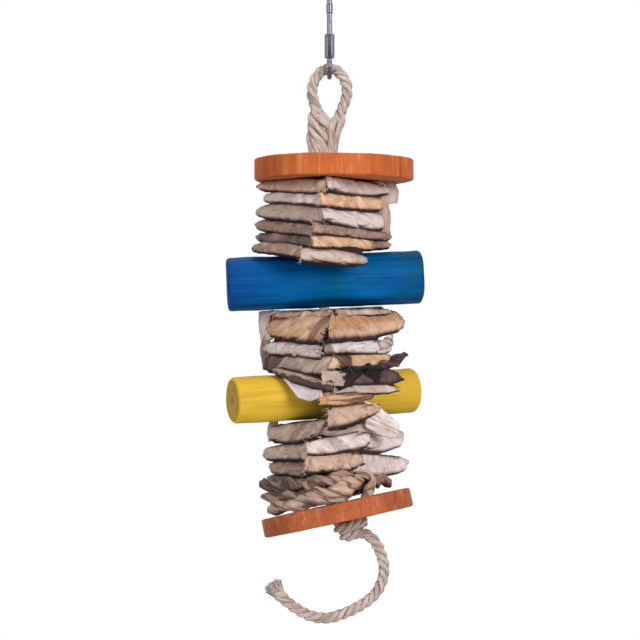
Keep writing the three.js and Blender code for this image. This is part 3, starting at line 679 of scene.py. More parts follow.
def makeBrush(path, material):             # fibres fanned out at the cut end of the tail
    look = brushLook
    random = np.random.default_rng(look["seed"])
    way, first, second = (rows[-1] for rows in carriedFrames(path))
    end = path[-1] - look["rooted"] * look["length"] * way
    threads = []
    for i in range(look["count"]):
        angle, share = random.uniform(0, 2 * math.pi), math.sqrt(random.uniform(0, 1))
        aside = share * (math.cos(angle) * first + math.sin(angle) * second)
        length = look["length"] * random.uniform(*look["lengths"])
        threads.append((end + look["rootRadius"] * aside,
                        way * length + (look["tipRadius"] - look["rootRadius"]) * aside, length))
    return fibrePiece("tailBrush", threads, look["radius"], look["seed"] + 1, look["curl"], material)


def makeHairs(name, points, count, around, seed, material):   # loose hairs standing off a rope
    look = hairLook
    random = np.random.default_rng(seed)
    path = smoothPath(points, ropeLook["step"])[0]
    tangents, first, second = carriedFrames(path)
    threads = []
    for i in random.integers(2, len(path) - 2, count):
        angle = random.uniform(0, 2 * math.pi)
        aside = math.cos(angle) * first[i] + math.sin(angle) * second[i]
        way = look["aside"] * aside + random.choice((-1, 1)) * tangents[i]
        way = way + random.normal(0, look["stray"], 3)
        threads.append((path[i] + look["rooted"] * around * aside, way, random.uniform(*look["lengths"])))
    return fibrePiece(name, threads, look["radius"], seed + 1, look["curl"], material)


def makeRope(material):
    eye = ropePiece("ropeEye", ropeParts(eyeLook["crown"], eyeLook["seed"]), material)
    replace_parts(eye, "rope_eye")

    neck = [strandPart(points, neckLook["radius"], neckLook["seed"] + i)
            for i, points in enumerate(neckLook["strands"])]
    neck.append(strandPart(neckLook["core"], neckLook["coreRadius"], neckLook["coreSeed"]))
    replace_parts(ropePiece("ropeNeck", neck, material), "rope_neck")

    core = ropeParts(coreLook["path"], coreLook["seed"])
    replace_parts(ropePiece("ropeCore", core, material), "rope_core")
    knot = ropeParts(knotLook["path"], knotLook["seed"])
    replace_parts(ropePiece("stopperKnot", knot, material), "stopper_knot")

    radius = ropeLook["radius"]
    route = [(x, tailLook["depth"], z) for x, z in tailLook["route"]]
    path, along = smoothPath(route, ropeLook["step"])
    length = along[-1]

    def flare(distance):                   # the cut end opens out
        start = tailLook["flareStart"]
        return 1 + tailLook["flare"] * ramp(distance / length, start, 1 - start)
    tail = ropePiece("ropeTail", ropeParts(route, tailLook["seed"], flare), material)
    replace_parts(tail, "rope_tail")
    makeBrush(path, material)
    makeHairs("tailHairs", route, hairLook["tail"], radius, tailLook["hairSeed"], material)
    makeHairs("eyeHairs", eyeLook["crown"], hairLook["eye"], radius, eyeLook["hairSeed"], material)
    makeHairs("neckHairs", neckLook["core"], hairLook["neck"], neckLook["hairRadius"], neckLook["hairSeed"],
              material)
    makeHairs("knotHairs", knotLook["path"], hairLook["knot"], radius, knotLook["hairSeed"], material)
    print("rope made, tail", round(length), "mm")


# Wooden discs and logs
orangeLook = {
    "base": tone(188, 98, 50), "dark": tone(138, 62, 34), "light": tone(214, 132, 80),
    "patch": tone(158, 82, 52), "patchScale": 42.0, "patchAmount": 0.6,
    "grain": (14, 150, 150), "fineGrain": (60, 1000, 1000), "scratch": (22, 360, 360),
    "scratchStart": 0.72, "scratchAmount": 0.6, "scratchTone": tone(222, 150, 98),
    "endBase": tone(186, 102, 58), "endDark": tone(140, 68, 38), "endPatch": tone(206, 128, 78),
    "ringSpacing": 0.0038, "fineAmount": 0.22, "endShade": 0, "pith": tone(120, 60, 40),
}
rustLook = dict(orangeLook, base=tone(172, 92, 56), dark=tone(126, 60, 38), light=tone(202, 124, 84),
                patch=tone(146, 76, 52), grain=(60, 130, 130), fineGrain=(300, 700, 700),
                scratch=(120, 420, 420), scratchTone=tone(212, 148, 106))
blueLook = {
    "base": tone(0, 94, 166), "dark": tone(4, 44, 92), "light": tone(0, 118, 188),
    "patch": tone(0, 104, 138), "patchScale": 24.0, "patchAmount": 0.75,
    "grain": (7, 150, 150), "fineGrain": (40, 900, 900), "scratch": (12, 260, 260),
    "scratchStart": 0.6, "scratchAmount": 0.9, "scratchTone": tone(8, 40, 74),
    "endBase": tone(6, 70, 130), "endDark": tone(8, 44, 88), "endPatch": tone(20, 92, 146),
    "ringSpacing": 0.0024, "fineAmount": 0.4, "endShade": 0.6, "pith": tone(6, 40, 76),
}
yellowLook = {
    "base": tone(217, 178, 58), "dark": tone(186, 144, 44), "light": tone(232, 202, 96),
    "patch": tone(206, 164, 52), "patchScale": 20.0, "patchAmount": 0.55,
    "grain": (8, 120, 120), "fineGrain": (30, 700, 700), "scratch": (14, 250, 250),
    "scratchStart": 0.74, "scratchAmount": 0.8, "scratchTone": tone(158, 116, 56),
    "endBase": tone(180, 146, 56), "endDark": tone(146, 112, 44), "endPatch": tone(196, 164, 76),
    "ringSpacing": 0.0022, "fineAmount": 0.3, "endShade": 0.1, "pith": tone(112, 80, 44),
}
endFacing = 0.92                           # faces turned so far along the log or disc are its ends
levelEdge = 1e-6
logShape = {"sides": 96, "bevel": (2.6, 5), "cuts": 40, "uneven": (0.0011, 0.02)}
blueLog = {"radius": 17.8, "length": 130, "slope": 0.0425, "yaw": 5, "centre": (-3.4, 0, -191.65)}
yellowLog = {"radius": 15.2, "length": 130, "slope": 0.036, "yaw": 22, "centre": (-3.4, 0, -268.05)}
discShape = {"sides": 240, "bevel": (1.3, 4), "cuts": 8, "uneven": (0.0005, 0.012),
             "lobes": ((3, 0.022, 1), (7, 0.012, 2)), "ripples": (9, 13, 19, 26), "rippleSizes": (0.2, 0.6),
             "rippleTurns": (0, 6.3)}
topDisc = {"radius": 52.6, "thickness": 14, "phase": 0.6, "centre": (2, 0, -118.05), "axis": (0, 0, 1),
           "offset": (0, 0, 0), "hole": (-5.4, 0, 0), "seed": 5}
bottomDisc = {"radius": 50.4, "thickness": 12.2, "phase": 2.1, "centre": (9.86, -6.57, -344.37),
              "axis": (-0.2118, 0.1049, 0.9716), "offset": (-4.122, 2.042, 0), "hole": (4.122, -2.042, 0),
              "seed": 9}
drillLook = {"radius": 4.7, "sides": 48, "length": 200}


def selectEdges(piece, wanted):            # edge mode, with the edges that the test picks
    mesh = piece.data
    makeActive(piece)
    bpy.ops.object.mode_set(mode="EDIT")
    bpy.ops.mesh.select_mode(type="EDGE")
    bpy.ops.mesh.select_all(action="DESELECT")
    bpy.ops.object.mode_set(mode="OBJECT")
    for edge in mesh.edges:
        a, b = (mesh.vertices[i].co for i in edge.vertices)
        edge.select = wanted(a, b)
    bpy.ops.object.mode_set(mode="EDIT")


def roundEdges(piece, offset, segments):   # bevels the edges that lie level
    selectEdges(piece, lambda a, b: abs(a.z - b.z) < levelEdge)
    bpy.ops.mesh.bevel(offset=offset * mm, segments=segments, affect="EDGES")
    bpy.ops.object.mode_set(mode="OBJECT")


def roundBlank(name, sides, radius, half):
    deselect()
    bpy.ops.mesh.primitive_cylinder_add(vertices=sides, radius=radius * mm, depth=2 * half,
                                        end_fill_type="NGON")
    piece = bpy.context.object
    piece.name = name
    return piece


def turnTo(axis):
    return Vector((0, 0, 1)).rotation_difference(Vector(axis))


def drillHole(piece, place, axis):
    deselect()
    bpy.ops.mesh.primitive_cylinder_add(vertices=drillLook["sides"], radius=drillLook["radius"] * mm,
                                        depth=drillLook["length"] * mm, location=place,
                                        rotation=turnTo(axis).to_euler())
    cutAway(piece, bpy.context.object)


def paintFaces(piece, side, end, frameTurn):   # the cut faces take the end finish
    inverse = frameTurn.to_3x3().inverted()
    piece.data.materials.clear()
    piece.data.materials.append(side)
    piece.data.materials.append(end)
    for face in piece.data.polygons:
        face.material_index = 1 if abs((inverse @ face.normal).x) > endFacing else 0


def handCut(piece, half, shape):           # rounded rims and an uneven side
    roundEdges(piece, *shape["bevel"])
    selectEdges(piece, lambda a, b: abs(a.z - b.z) > half)
    bpy.ops.mesh.subdivide(number_cuts=shape["cuts"])
    bpy.ops.object.mode_set(mode="OBJECT")
    texture = bpy.data.textures.new(piece.name + "Uneven", "CLOUDS")
    amount, texture.noise_scale = shape["uneven"]
    texture.noise_depth = 1
    applyModifier(piece, "DISPLACE", texture=texture, strength=amount, mid_level=0.5, texture_coords="LOCAL")
    bpy.data.textures.remove(texture)


def finishWood(piece, body, place, hole, axis, frameTurn, look, finishes):
    piece.data.transform(place)
    piece.data.shade_smooth()
    drillHole(piece, hole, axis)
    centre, turn = place.translation, frameTurn.to_euler()
    side = dyedSide(piece.name + finishes[0], look, centre, turn)
    end = dyedEnd(piece.name + finishes[1], look, centre, turn)
    paintFaces(piece, side, end, frameTurn)
    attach(piece, body)
    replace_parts(piece, body)
    print(piece.name, "made")


def makeLog(name, body, log, look):
    half = log["length"] / 2 * mm
    piece = roundBlank(name, logShape["sides"], log["radius"], half)
    handCut(piece, half, logShape)
    slope = Matrix.Rotation(-math.atan(log["slope"]), 4, "Y")
    frameTurn = Matrix.Rotation(math.radians(log["yaw"]), 4, "Z") @ slope
    centre = Vector(log["centre"]) * mm
    place = Matrix.Translation(centre) @ frameTurn @ Matrix.Rotation(math.pi / 2, 4, "Y")
    finishWood(piece, body, place, centre, (0, 0, 1), frameTurn, look,
               ("Side", "End"))


def lobedRim(angle, disc):
    return 1 + sum(size * math.cos(count * angle + turns * disc["phase"])
                   for count, size, turns in discShape["lobes"])


def makeDisc(name, body, disc, look):
    half = disc["thickness"] / 2 * mm
    piece = roundBlank(name, discShape["sides"], disc["radius"], half)
    random = np.random.default_rng(disc["seed"])
    sizes, turns = discShape["rippleSizes"], discShape["rippleTurns"]
    ripples = [(n, random.uniform(*sizes) / n ** 2, random.uniform(*turns)) for n in discShape["ripples"]]
    for vertex in piece.data.vertices:
        angle = math.atan2(vertex.co.y, vertex.co.x)
        grow = lobedRim(angle, disc) + sum(size * math.sin(n * angle + turn) for n, size, turn in ripples)
        vertex.co.x *= grow
        vertex.co.y *= grow
    handCut(piece, half, discShape)
    toAxis = turnTo(disc["axis"]).to_matrix().to_4x4()
    centre, offset, hole = (Vector(disc[key]) * mm for key in ("centre", "offset", "hole"))
    place = Matrix.Translation(centre) @ toAxis @ Matrix.Translation(offset)
    frameTurn = toAxis @ Matrix.Rotation(-math.pi / 2, 4, "Y")     # its X axis is the disc's axis
    finishWood(piece, body, place, place @ hole, disc["axis"], frameTurn, look,
               ("Rim", "Face"))


# Snap hook: bent wire, swaged nose, hinged gate and screw sleeve
hookLook = {
    "wireRadius": 1.75, "wireSides": 24, "wireStep": 0.9, "halfWidth": 8.25, "topCentre": -6.5,
    "topSteps": 12, "shoulder": -10, "backHeights": (-15, -27, -39), "bottomCentre": -47.5,
    "bowEnd": 0.37, "bowSteps": 13, "noseRadius": 2.2, "noseBottom": -15.2, "noseLength": 7,
    "noseBevel": 0.7, "overlap": 2, "stubLength": 6, "seam": -18.4, "seamLean": 32, "seamGap": 0.4,
    "tongue": (1.0, 3.0, 5.8), "tongueMiddle": -48.4, "tongueBevel": 0.25, "gateBottom": -49.2,
    "gateSpare": 4, "slot": (1.4, 6.0, 8.4), "slotMiddle": -48.9, "threadRadius": 2.1, "threadSpare": 0.1,
    "threadBevel": 0.3, "sleeveFlat": 3.0, "sleeveBottom": -44.5, "sleeveLength": 16, "sleeveBevel": 0.55,
    "sleeveBore": 2.4, "smoothAngle": 40,
}


def hookPiece(piece, name, body, node, material):
    piece.name = name
    settle(piece)
    piece.data.materials.clear()
    piece.data.materials.append(material)
    bpy.ops.object.shade_smooth_by_angle(angle=math.radians(hookLook["smoothAngle"]))
    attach(piece, body)
    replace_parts(piece, node)


def roundBar(radius, bottom, top, bevel=0, sides=40):   # a bar on the gate side of the hook
    deselect()
    middle = (0, -hookLook["halfWidth"] * mm, (bottom + top) / 2 * mm)
    bpy.ops.mesh.primitive_cylinder_add(vertices=sides, radius=radius * mm, depth=(top - bottom) * mm,
                                        location=middle)
    bar = bpy.context.object
    if bevel:
        roundEdges(bar, bevel, 3)
    return bar


def cutSeam(piece, keepAbove):             # the leaning seam between the nose and the gate
    settle(piece)
    lean = math.radians(hookLook["seamLean"])
    shift = hookLook["seamGap"] / 2 * (1 if keepAbove else -1)
    bpy.ops.object.mode_set(mode="EDIT")
    bpy.ops.mesh.select_all(action="SELECT")
    bpy.ops.mesh.bisect(plane_co=(0, -hookLook["halfWidth"] * mm, (hookLook["seam"] + shift) * mm),
                        plane_no=(-math.sin(lean), 0, math.cos(lean)), use_fill=True,
                        clear_inner=keepAbove, clear_outer=not keepAbove)
    bpy.ops.object.mode_set(mode="OBJECT")


def hookBlock(size, height):               # a block on the gate side of the hook
    deselect()
    bpy.ops.mesh.primitive_cube_add(size=1, location=(0, -hookLook["halfWidth"] * mm, height * mm),
                                    scale=[v * mm for v in size])
    return bpy.context.object


def joinTo(piece, *others):
    for other in others:
        settle(other)
    makeActive(piece)
    for other in others:
        other.select_set(True)
    bpy.ops.object.join()


def makeHook(material):
    look = hookLook
    half, seam = look["halfWidth"], look["seam"]
    noseStart = look["noseBottom"] + look["overlap"]
    route = [(0, -half, noseStart), (0, -half, look["shoulder"])]
    for i in range(look["topSteps"] + 1):
        angle = math.pi - math.pi * i / look["topSteps"]
        route.append((0, half * math.cos(angle), look["topCentre"] + half * math.sin(angle)))
    route += [(0, half, height) for height in look["backHeights"]]
    for i in range(look["bowSteps"] + 1):
        angle = -(math.pi - look["bowEnd"]) * i / look["bowSteps"]
        route.append((0, half * math.cos(angle), look["bottomCentre"] + half * math.sin(angle)))
    path, along = smoothPath(route, look["wireStep"])
    bent = sweep(path, along, np.full(len(path), look["wireRadius"]), look["wireSides"])
    body = meshPiece("hookBody", *gather([bent]), "wireMap", material)
    stub = roundBar(look["wireRadius"], seam - look["stubLength"], noseStart)
    cutSeam(stub, True)
    nose = roundBar(look["noseRadius"], look["noseBottom"], look["noseBottom"] + look["noseLength"],
                    look["noseBevel"])
    tongue = hookBlock(look["tongue"], look["tongueMiddle"])
    applyModifier(tongue, "BEVEL", width=look["tongueBevel"] * mm, segments=2)
    joinTo(body, stub, nose, tongue)
    hookPiece(body, "hookBody", "hook", "hook_body", material)

    gate = roundBar(look["wireRadius"], look["gateBottom"], seam + look["gateSpare"])
    cutSeam(gate, False)
    cutAway(gate, hookBlock(look["slot"], look["slotMiddle"]))
    bottom, top = look["sleeveBottom"], look["sleeveBottom"] + look["sleeveLength"]
    spare = look["threadSpare"]
    joinTo(gate, roundBar(look["threadRadius"], bottom - spare, top + spare, look["threadBevel"]))
    hookPiece(gate, "hookGate", "gate", "hook_gate", material)

    sixth = math.pi / 6
    sleeve = roundBar(look["sleeveFlat"] / math.cos(sixth), bottom, top, sides=6)
    makeActive(sleeve)
    bpy.ops.object.mode_set(mode="EDIT")
    bpy.ops.mesh.select_all(action="SELECT")
    bpy.ops.transform.rotate(value=sixth, orient_axis="Z",
                             center_override=(0, -half * mm, (bottom + top) / 2 * mm))
    bpy.ops.object.mode_set(mode="OBJECT")
    applyModifier(sleeve, "BEVEL", width=look["sleeveBevel"] * mm, segments=3)
    cutAway(sleeve, roundBar(look["sleeveBore"], bottom - 1, top + 1))
    hookPiece(sleeve, "lockSleeve", "sleeve", "lock_sleeve", material)
    for node in ("gate_spring", "gate_pin"):
        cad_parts[node].data.materials.clear()
        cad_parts[node].data.materials.append(material)
    print("hook made")


# Folded leaves. Each leaf is folded into a flat pad with a plump roll on the face that shows.
# Points are in mm: the outer end of the roll, its middle and the end at the front corner.
def leaf(name, outer, middle, corner, heights, finish, **more):
    return dict(more, name=name, outer=outer, middle=middle, corner=corner, heights=heights, tone=finish)


leafSheet = {"thickness": 0.5, "depth": 13, "backDepth": 10, "reach": 63, "rows": 80, "loop": 44, "tail": 6,
             "backLoop": 18, "plyGap": 0.9, "faceReach": 32,
             "plies": ((1.0, 0.0, 1.0), (0.78, 3.0, 0.82), (0.42, 1.6, 0.72))}   # height, longer by, depth
foldShape = {
    "slack": 1.5, "margin": 1.5, "spare": 0.4, "backShare": 0.95, "fullness": 1.05, "tilt": 0.3,
    "heightWaves": (0.06, 9), "backWaves": (0.15, 8), "endRound": 5, "endShut": 0.4, "cornerShut": (0.08, 3),
    "endCurve": 1.5, "retreat": 3.6, "retreatWidth": 7.5, "cornerBack": (1.2, 5), "cornerFlat": (0.8, 8),
    "frontStart": 1.02, "frontWidth": 0.55, "hiddenStart": 0.4, "flatWidth": 0.4,      # shares of the depth
    "inset": 11, "outerInset": 6, "innerPart": (0.45, 0.55), "outerPart": (0.6, -0.6),
    "skew": 0.9, "pleatWidth": 1.4, "pleatLength": 18, "pleatLevel": 0.4, "pleatHeight": 1.6, "creases": 10,
    "lumps": ((0.55, 15, 9), (0.16, 6, 5)), "flatBulge": 0.2, "upBulge": 0.4,
    "turnedLift": 0.7, "bandWaves": (0.2, 3.5), "bandEdge": 0.08, "bandReach": 0.7, "bandRim": 0.3,
    "jag": ((0.6, 3), (0.2, 0.8)), "jagPart": (0.8, 0.2),
    "startJag": ((0.9, 1.6), (2.2, 9)), "startJagPart": (0.12, -0.12),
    "markTilt": 0.12, "markWaves": (0.25, 4), "markBlur": 0.3,
    # painted shade: the tuck, crease and turned-edge stain strengths on these lines darken the leaf where
    # shade falls; the corner and start rims are real stains
    "underTop": 0.8, "tuckDeep": (0.25, 0.2), "tuckSide": (0.5, 0.4), "tuckStain": 0.95,
    "cornerStain": 0.25, "cornerRim": (0.97, 0.03), "startStain": 0.6, "startRim": (0.025, -0.025),
    "creaseStain": 0.5, "bandStain": 0.7, "shade": 0.6, "mapSize": 10, "mapShift": (0.73, 1.31),
}
bundles = {
    "upper": {"top": -125.35, "bottom": -173.55, "slopes": (0, 0.0425), "pitch": 0, "count": 12,
              "centre": (-3.4, 0)},
    "middle": {"top": -209.75, "bottom": -252.55, "slopes": (0.0425, 0.036), "pitch": 0, "count": 10,
               "centre": (-3.4, 0)},
    "lower": {"top": -283.55, "bottom": -338.15, "slopes": (0.036, 0.218), "pitch": -0.108, "count": 10,
              "centre": (2, -3)},
}
upperFolds = [
    leaf("left_1", (-47, -1.6, -128), (-23.9, -24.7, -129.8), (-2.8, -45.8, -132.2), (7.4, 10, 10), "tan",
         pleat=0.02),
    leaf("right_1", (41, -0.9, -131.1), (18.5, -23.4, -131), (-0.7, -45.8, -129.6), (6.2, 11.6, 9.8), "pale",
         pleat=0.05),
    leaf("left_2", (-43.6, -5, -136.2), (-25.9, -22.7, -137.5), (-4.4, -44.2, -141), (7.2, 9.2, 8), "pale",
         pleat=0.06, stains=[(0.45, 0.1, 0.2, 0.2)]),
    leaf("right_2", (36.1, -5.7, -140.6), (13.2, -28.7, -140.5), (-5.4, -47.2, -140), (9.2, 11.4, 9.8),
         "golden", pleat=0.02),
    leaf("left_3", (-48.3, -0.3, -144.8), (-27.2, -21.4, -147), (-4.2, -44.4, -150.8), (8.2, 12.6, 11),
         "grey", pleat=0.02),
    leaf("right_3", (36.1, -5.7, -152.2), (13.2, -28.7, -151.3), (-3.9, -45.8, -149.3), (13.4, 13.2, 9.4),
         "pale", pleat=0.2, skew=1.4),
    leaf("left_4", (-50, 1.4, -153.8), (-29.2, -19.4, -156.9), (-8, -40.6, -160.4), (7, 9.4, 8), "brown",
         pleat=0.06),
    leaf("right_4", (41, -0.8, -162.4), (9.9, -32, -160.1), (-10.4, -48.2, -158.2), (6.2, 8, 9.2), "brown",
         pleat=0.08, skew=-0.4),
    leaf("left_5", (-47.6, -1, -162), (-29.2, -19.4, -164.8), (-9, -39.6, -167.6), (7.2, 9.2, 9), "dark",
         pleat=0.1),
    leaf("right_5", (31.3, -10.5, -168.2), (9.9, -32, -167.5), (-10.2, -50, -167.5), (7.6, 9.2, 9), "golden",
         pleat=0.02),
    leaf("left_6", (-50.8, -11.6, -170.4), (-32.2, -30.4, -171.2), (-13, -41, -175.6), (6.4, 9.2, 8.6),
         "brown", pleat=0.04, stains=[(0.02, 0.1, 0, 0.95)], depth=10),
    leaf("right_6", (21.2, -40, -179.2), (2.1, -46, -177.3), (-17.8, -54, -175.8), (8.6, 11.2, 8.2), "grey",
         pleat=0.08, skew=0.5, reach=50),
]
middleFolds = [
    leaf("left_1", (-40.4, -8.2, -223.2), (-22.6, -26, -222.8), (-1.6, -45, -223), (14, 19, 20.4), "golden",
         pleat=0.03, skew=1.1, slant=5.5, depth=17, stains=[(0.84, 0.065, 1, 0.7)], fray=0),
    leaf("right_1", (50.5, 8.6, -217.6), (27.9, -13.9, -219.7), (1.2, -52, -220.7), (12.6, 19, 19.4), "amber",
         pleat=0.06, slant=-6, depth=16, band=(0.1, -0.5, 1), fray=2),
    leaf("left_2", (-43.4, -5.2, -236.1), (-23.9, -24.7, -236.5), (-6.3, -42.3, -238.1), (8.4, 10.6, 9),
         "pale", pleat=0.16),
    leaf("right_2", (41.5, -0.3, -236.2), (16.5, -25.4, -234.5), (-3.2, -47, -234.3), (9.4, 10.8, 10.2),
         "white", pleat=0.2, skew=-0.5, stains=[(1, 0.08, 0.5, 0.9)]),
    leaf("left_3", (-44.8, -3.8, -246.3), (-21.3, -27.3, -246.5), (-1.2, -47.4, -246.6), (11, 13.4, 13.2),
         "grey", pleat=0.02, slant=2.5, stains=[(0.04, 0.09, 0, 1), (0.21, 0.08, 0.5, 1)]),
    leaf("right_3", (42.5, 0.7, -243.1), (13.2, -28.7, -244.4), (-1.2, -43, -244.8), (7.6, 10.4, 11),
         "golden", pleat=0.08, stains=[(0.76, 0.12, 0.2, 1)], lights=[(0.94, 0.05, 0, 0.9)]),
    leaf("left_4", (-36.5, -21.5, -250.4), (-18.8, -38.2, -255.8), (1.4, -54, -260.6), (4.2, 7.6, 6.4),
         "maroon", pleat=0.1, depth=9, band=(0.2, 0.6, -1)),
    leaf("right_4", (41.5, -43.5, -254), (17, -38, -254.3), (0.5, -46, -254.4), (9.8, 10.6, 10), "maroon",
         pleat=0.3, creases=3, shade=0.2, depth=7, reach=68, outerInset=28),
    leaf("left_5", (-35, -13.6, -257.6), (-17.6, -31, -263.4), (-4, -44.6, -268.6), (3.4, 5.4, 5.4), "white",
         pleat=0.05),
    leaf("right_5", (39.5, -43.6, -262), (23, -39.4, -262.2), (2, -44.4, -262.6), (5.6, 5.6, 5.2), "grey",
         pleat=0.08, depth=5, reach=64, outerInset=28),
]
lowerFolds = [
    leaf("right_1", (26.4, -46.6, -274.2), (12.6, -48.6, -277.8), (-1.6, -47.6, -280.6), (9.6, 13.2, 15),
         "tan", pleat=0.03, depth=12, reach=72, outerInset=24, flare=16),
    leaf("left_1", (-40.6, -8, -292.6), (-23.9, -24.7, -291), (-6.4, -42.2, -286.8), (12.4, 13.8, 13), "grey",
         pleat=0.03, skew=0.8, slant=4, stains=[(0.6, 0.08, 1, 0.5)]),
    leaf("right_2", (22.2, -41, -293.9), (3.3, -43, -297.5), (-14.6, -42, -299.8), (12, 12, 9.6), "pale",
         pleat=0.03, skew=0.7, reach=72, stains=[(0.5, 0.09, 0.9, 0.45)], flare=16),
    leaf("left_2", (-44.8, -3.8, -306.7), (-30.6, -18, -304.3), (-14, -35.4, -302.8), (8.2, 11.4, 12), "grey",
         pleat=0.03),
    leaf("right_3", (16.8, -41.4, -307.3), (0.1, -43, -309.1), (-15.9, -42, -310), (12.6, 12, 12.2), "tan",
         pleat=0.1, reach=72, flare=16),
    leaf("left_3", (-39.4, -9.2, -314.9), (-27.2, -21.4, -315), (-13.6, -35.4, -313.8), (9.2, 11, 11),
         "brown", pleat=0.03),
    leaf("right_4", (20, -33, -316.4), (1, -36, -319.8), (-14, -36, -322.6), (8, 8, 7.6), "brown", pleat=0.1,
         reach=68, flare=16),
    leaf("left_4", (-41, -6, -323.6), (-28, -19, -322.2), (-14, -33, -320.4), (6.6, 7.8, 7.4), "dark",
         pleat=0.1),
    leaf("right_5", (22, -31, -323.6), (2, -34, -328), (-14, -34, -331.4), (8, 8, 7.4), "tan", pleat=0.1,
         reach=68, flare=16),
    leaf("left_5", (-40, -6, -333.4), (-27, -19, -331.6), (-13, -33, -328.8), (7.6, 8, 7.8), "grey",
         pleat=0.1),
]
sideFolds = [                              # shorter leaves at the sides and on top
    leaf("upperSideFold", (40.6, -1, -167.6), (33, -9, -167.8), (22, -20, -168.4), (6.4, 7, 6.4), "brown",
         bundle="upper", order=10, pleat=0.05, reach=44),
    leaf("middleTopFold1", (-37, -6, -214.6), (-20, -23, -214.2), (0, -43, -213.4), (4.2, 4.8, 4.8), "tan",
         bundle="middle", order=0, pleat=0.05, depth=9),
    leaf("middleTopFold2", (42, -2, -211.8), (22, -20, -212.6), (0, -44, -213.2), (4.2, 4.6, 4.8), "grey",
         bundle="middle", order=0, pleat=0.05, depth=9),
    leaf("lowerSideFold1", (50, -2, -293.8), (36.2, -20, -297.7), (20.5, -38, -293.8), (9.4, 12, 15), "pale",
         bundle="lower", order=3, pleat=0.04, reach=44, stains=[(0, 0.06, 0, 0.6)], creases=11),
    leaf("lowerSideFold2", (52, 0, -313.4), (33, -22, -312.4), (14.6, -39.5, -308), (9, 16, 17), "pale",
         bundle="lower", order=5, pleat=0.3, reach=44, skew=-0.5, creases=11),
]


def throughThree(values, share, middleShare):      # a smooth line through three points
    start, middle, end = (np.asarray(v, dtype=float) for v in values)
    m = middleShare
    first = (share - m) * (share - 1) / m
    second = share * (share - 1) / (m * (m - 1))
    third = share * (share - m) / (1 - m)
    return first[:, None] * start + second[:, None] * middle + third[:, None] * end


def stackLevel(bundle, level, x, y):       # where a ply lies in the sloping stack
    share = (bundle["top"] - level) / (bundle["top"] - bundle["bottom"])
    slope = bundle["slopes"][0] * (1 - share) + bundle["slopes"][1] * share
    return level + slope * (x - bundle["centre"][0]) + bundle["pitch"] * share * (y - bundle["centre"][1])


padCurve = {"nose": 2.3, "swell": 0.8, "shut": 0.5, "parting": 8}      # powers of a sine


def padSection(depth, backDepth, reach, loop, tail, backLoop):
    curve = padCurve
    front = np.linspace(math.pi, -math.pi, loop)
    back = np.linspace(-math.pi, math.pi, backLoop)
    flat = np.linspace(depth, reach - backDepth, tail + 2)[1:-1]
    across = np.concatenate([-depth * np.abs(np.sin(front / 2)) ** curve["nose"], -flat,
                             backDepth * np.abs(np.sin(back / 2)) ** curve["nose"] - reach, -flat[::-1]])

    def swell(angle):
        bulge = np.sign(np.sin(angle)) * np.abs(np.sin(angle)) ** curve["swell"]
        bulge = bulge * np.abs(np.cos(angle / 2)) ** curve["shut"]
        return bulge / np.abs(bulge).max()

    def parted(angle):
        return np.sign(angle) * np.abs(np.sin(angle / 2)) ** curve["parting"]

    none = np.zeros(tail)
    frontRise = np.concatenate([swell(front), none, np.zeros(backLoop), none])
    backRise = np.concatenate([np.zeros(loop), none, swell(back), none])
    sideOf = np.concatenate([parted(front), none - 1, parted(back), none + 1])
    outward = np.concatenate([np.cos(front), none, -np.cos(back), none])
    upward = np.concatenate([np.sin(front), none - 1, np.sin(back), none + 1])
    return across, frontRise, backRise, sideOf, outward, upward


creaseLook = {"lean": 1.2, "reach": 9, "fade": 1.3, "lengths": (7, 20), "heights": (0.3, 0.9),
              "widths": (2.5, 6), "lineWidth": 0.9}


def creaseRelief(seed, u, v, length, count):   # tent-shaped creases, and a mask of their lines
    look = creaseLook
    random = np.random.default_rng(seed)
    relief, lines = 0 * (u + v), 0 * (u + v)
    for i in range(count):
        angle = random.uniform(-look["lean"], look["lean"])
        x, y = u - random.uniform(0, length), v - random.uniform(-look["reach"], look["reach"])
        aside = np.abs(x * math.cos(angle) + y * math.sin(angle))
        down = np.abs(y * math.cos(angle) - x * math.sin(angle))
        fade = smoothStep(look["fade"] - down / random.uniform(*look["lengths"]))
        size = random.choice((-1, 1)) * random.uniform(*look["heights"])
        relief = relief + size * fade * np.maximum(0, 1 - aside / random.uniform(*look["widths"]))
        lines = np.maximum(lines, fade * np.maximum(0, 1 - aside / look["lineWidth"]) * (size < 0))
    return relief, lines


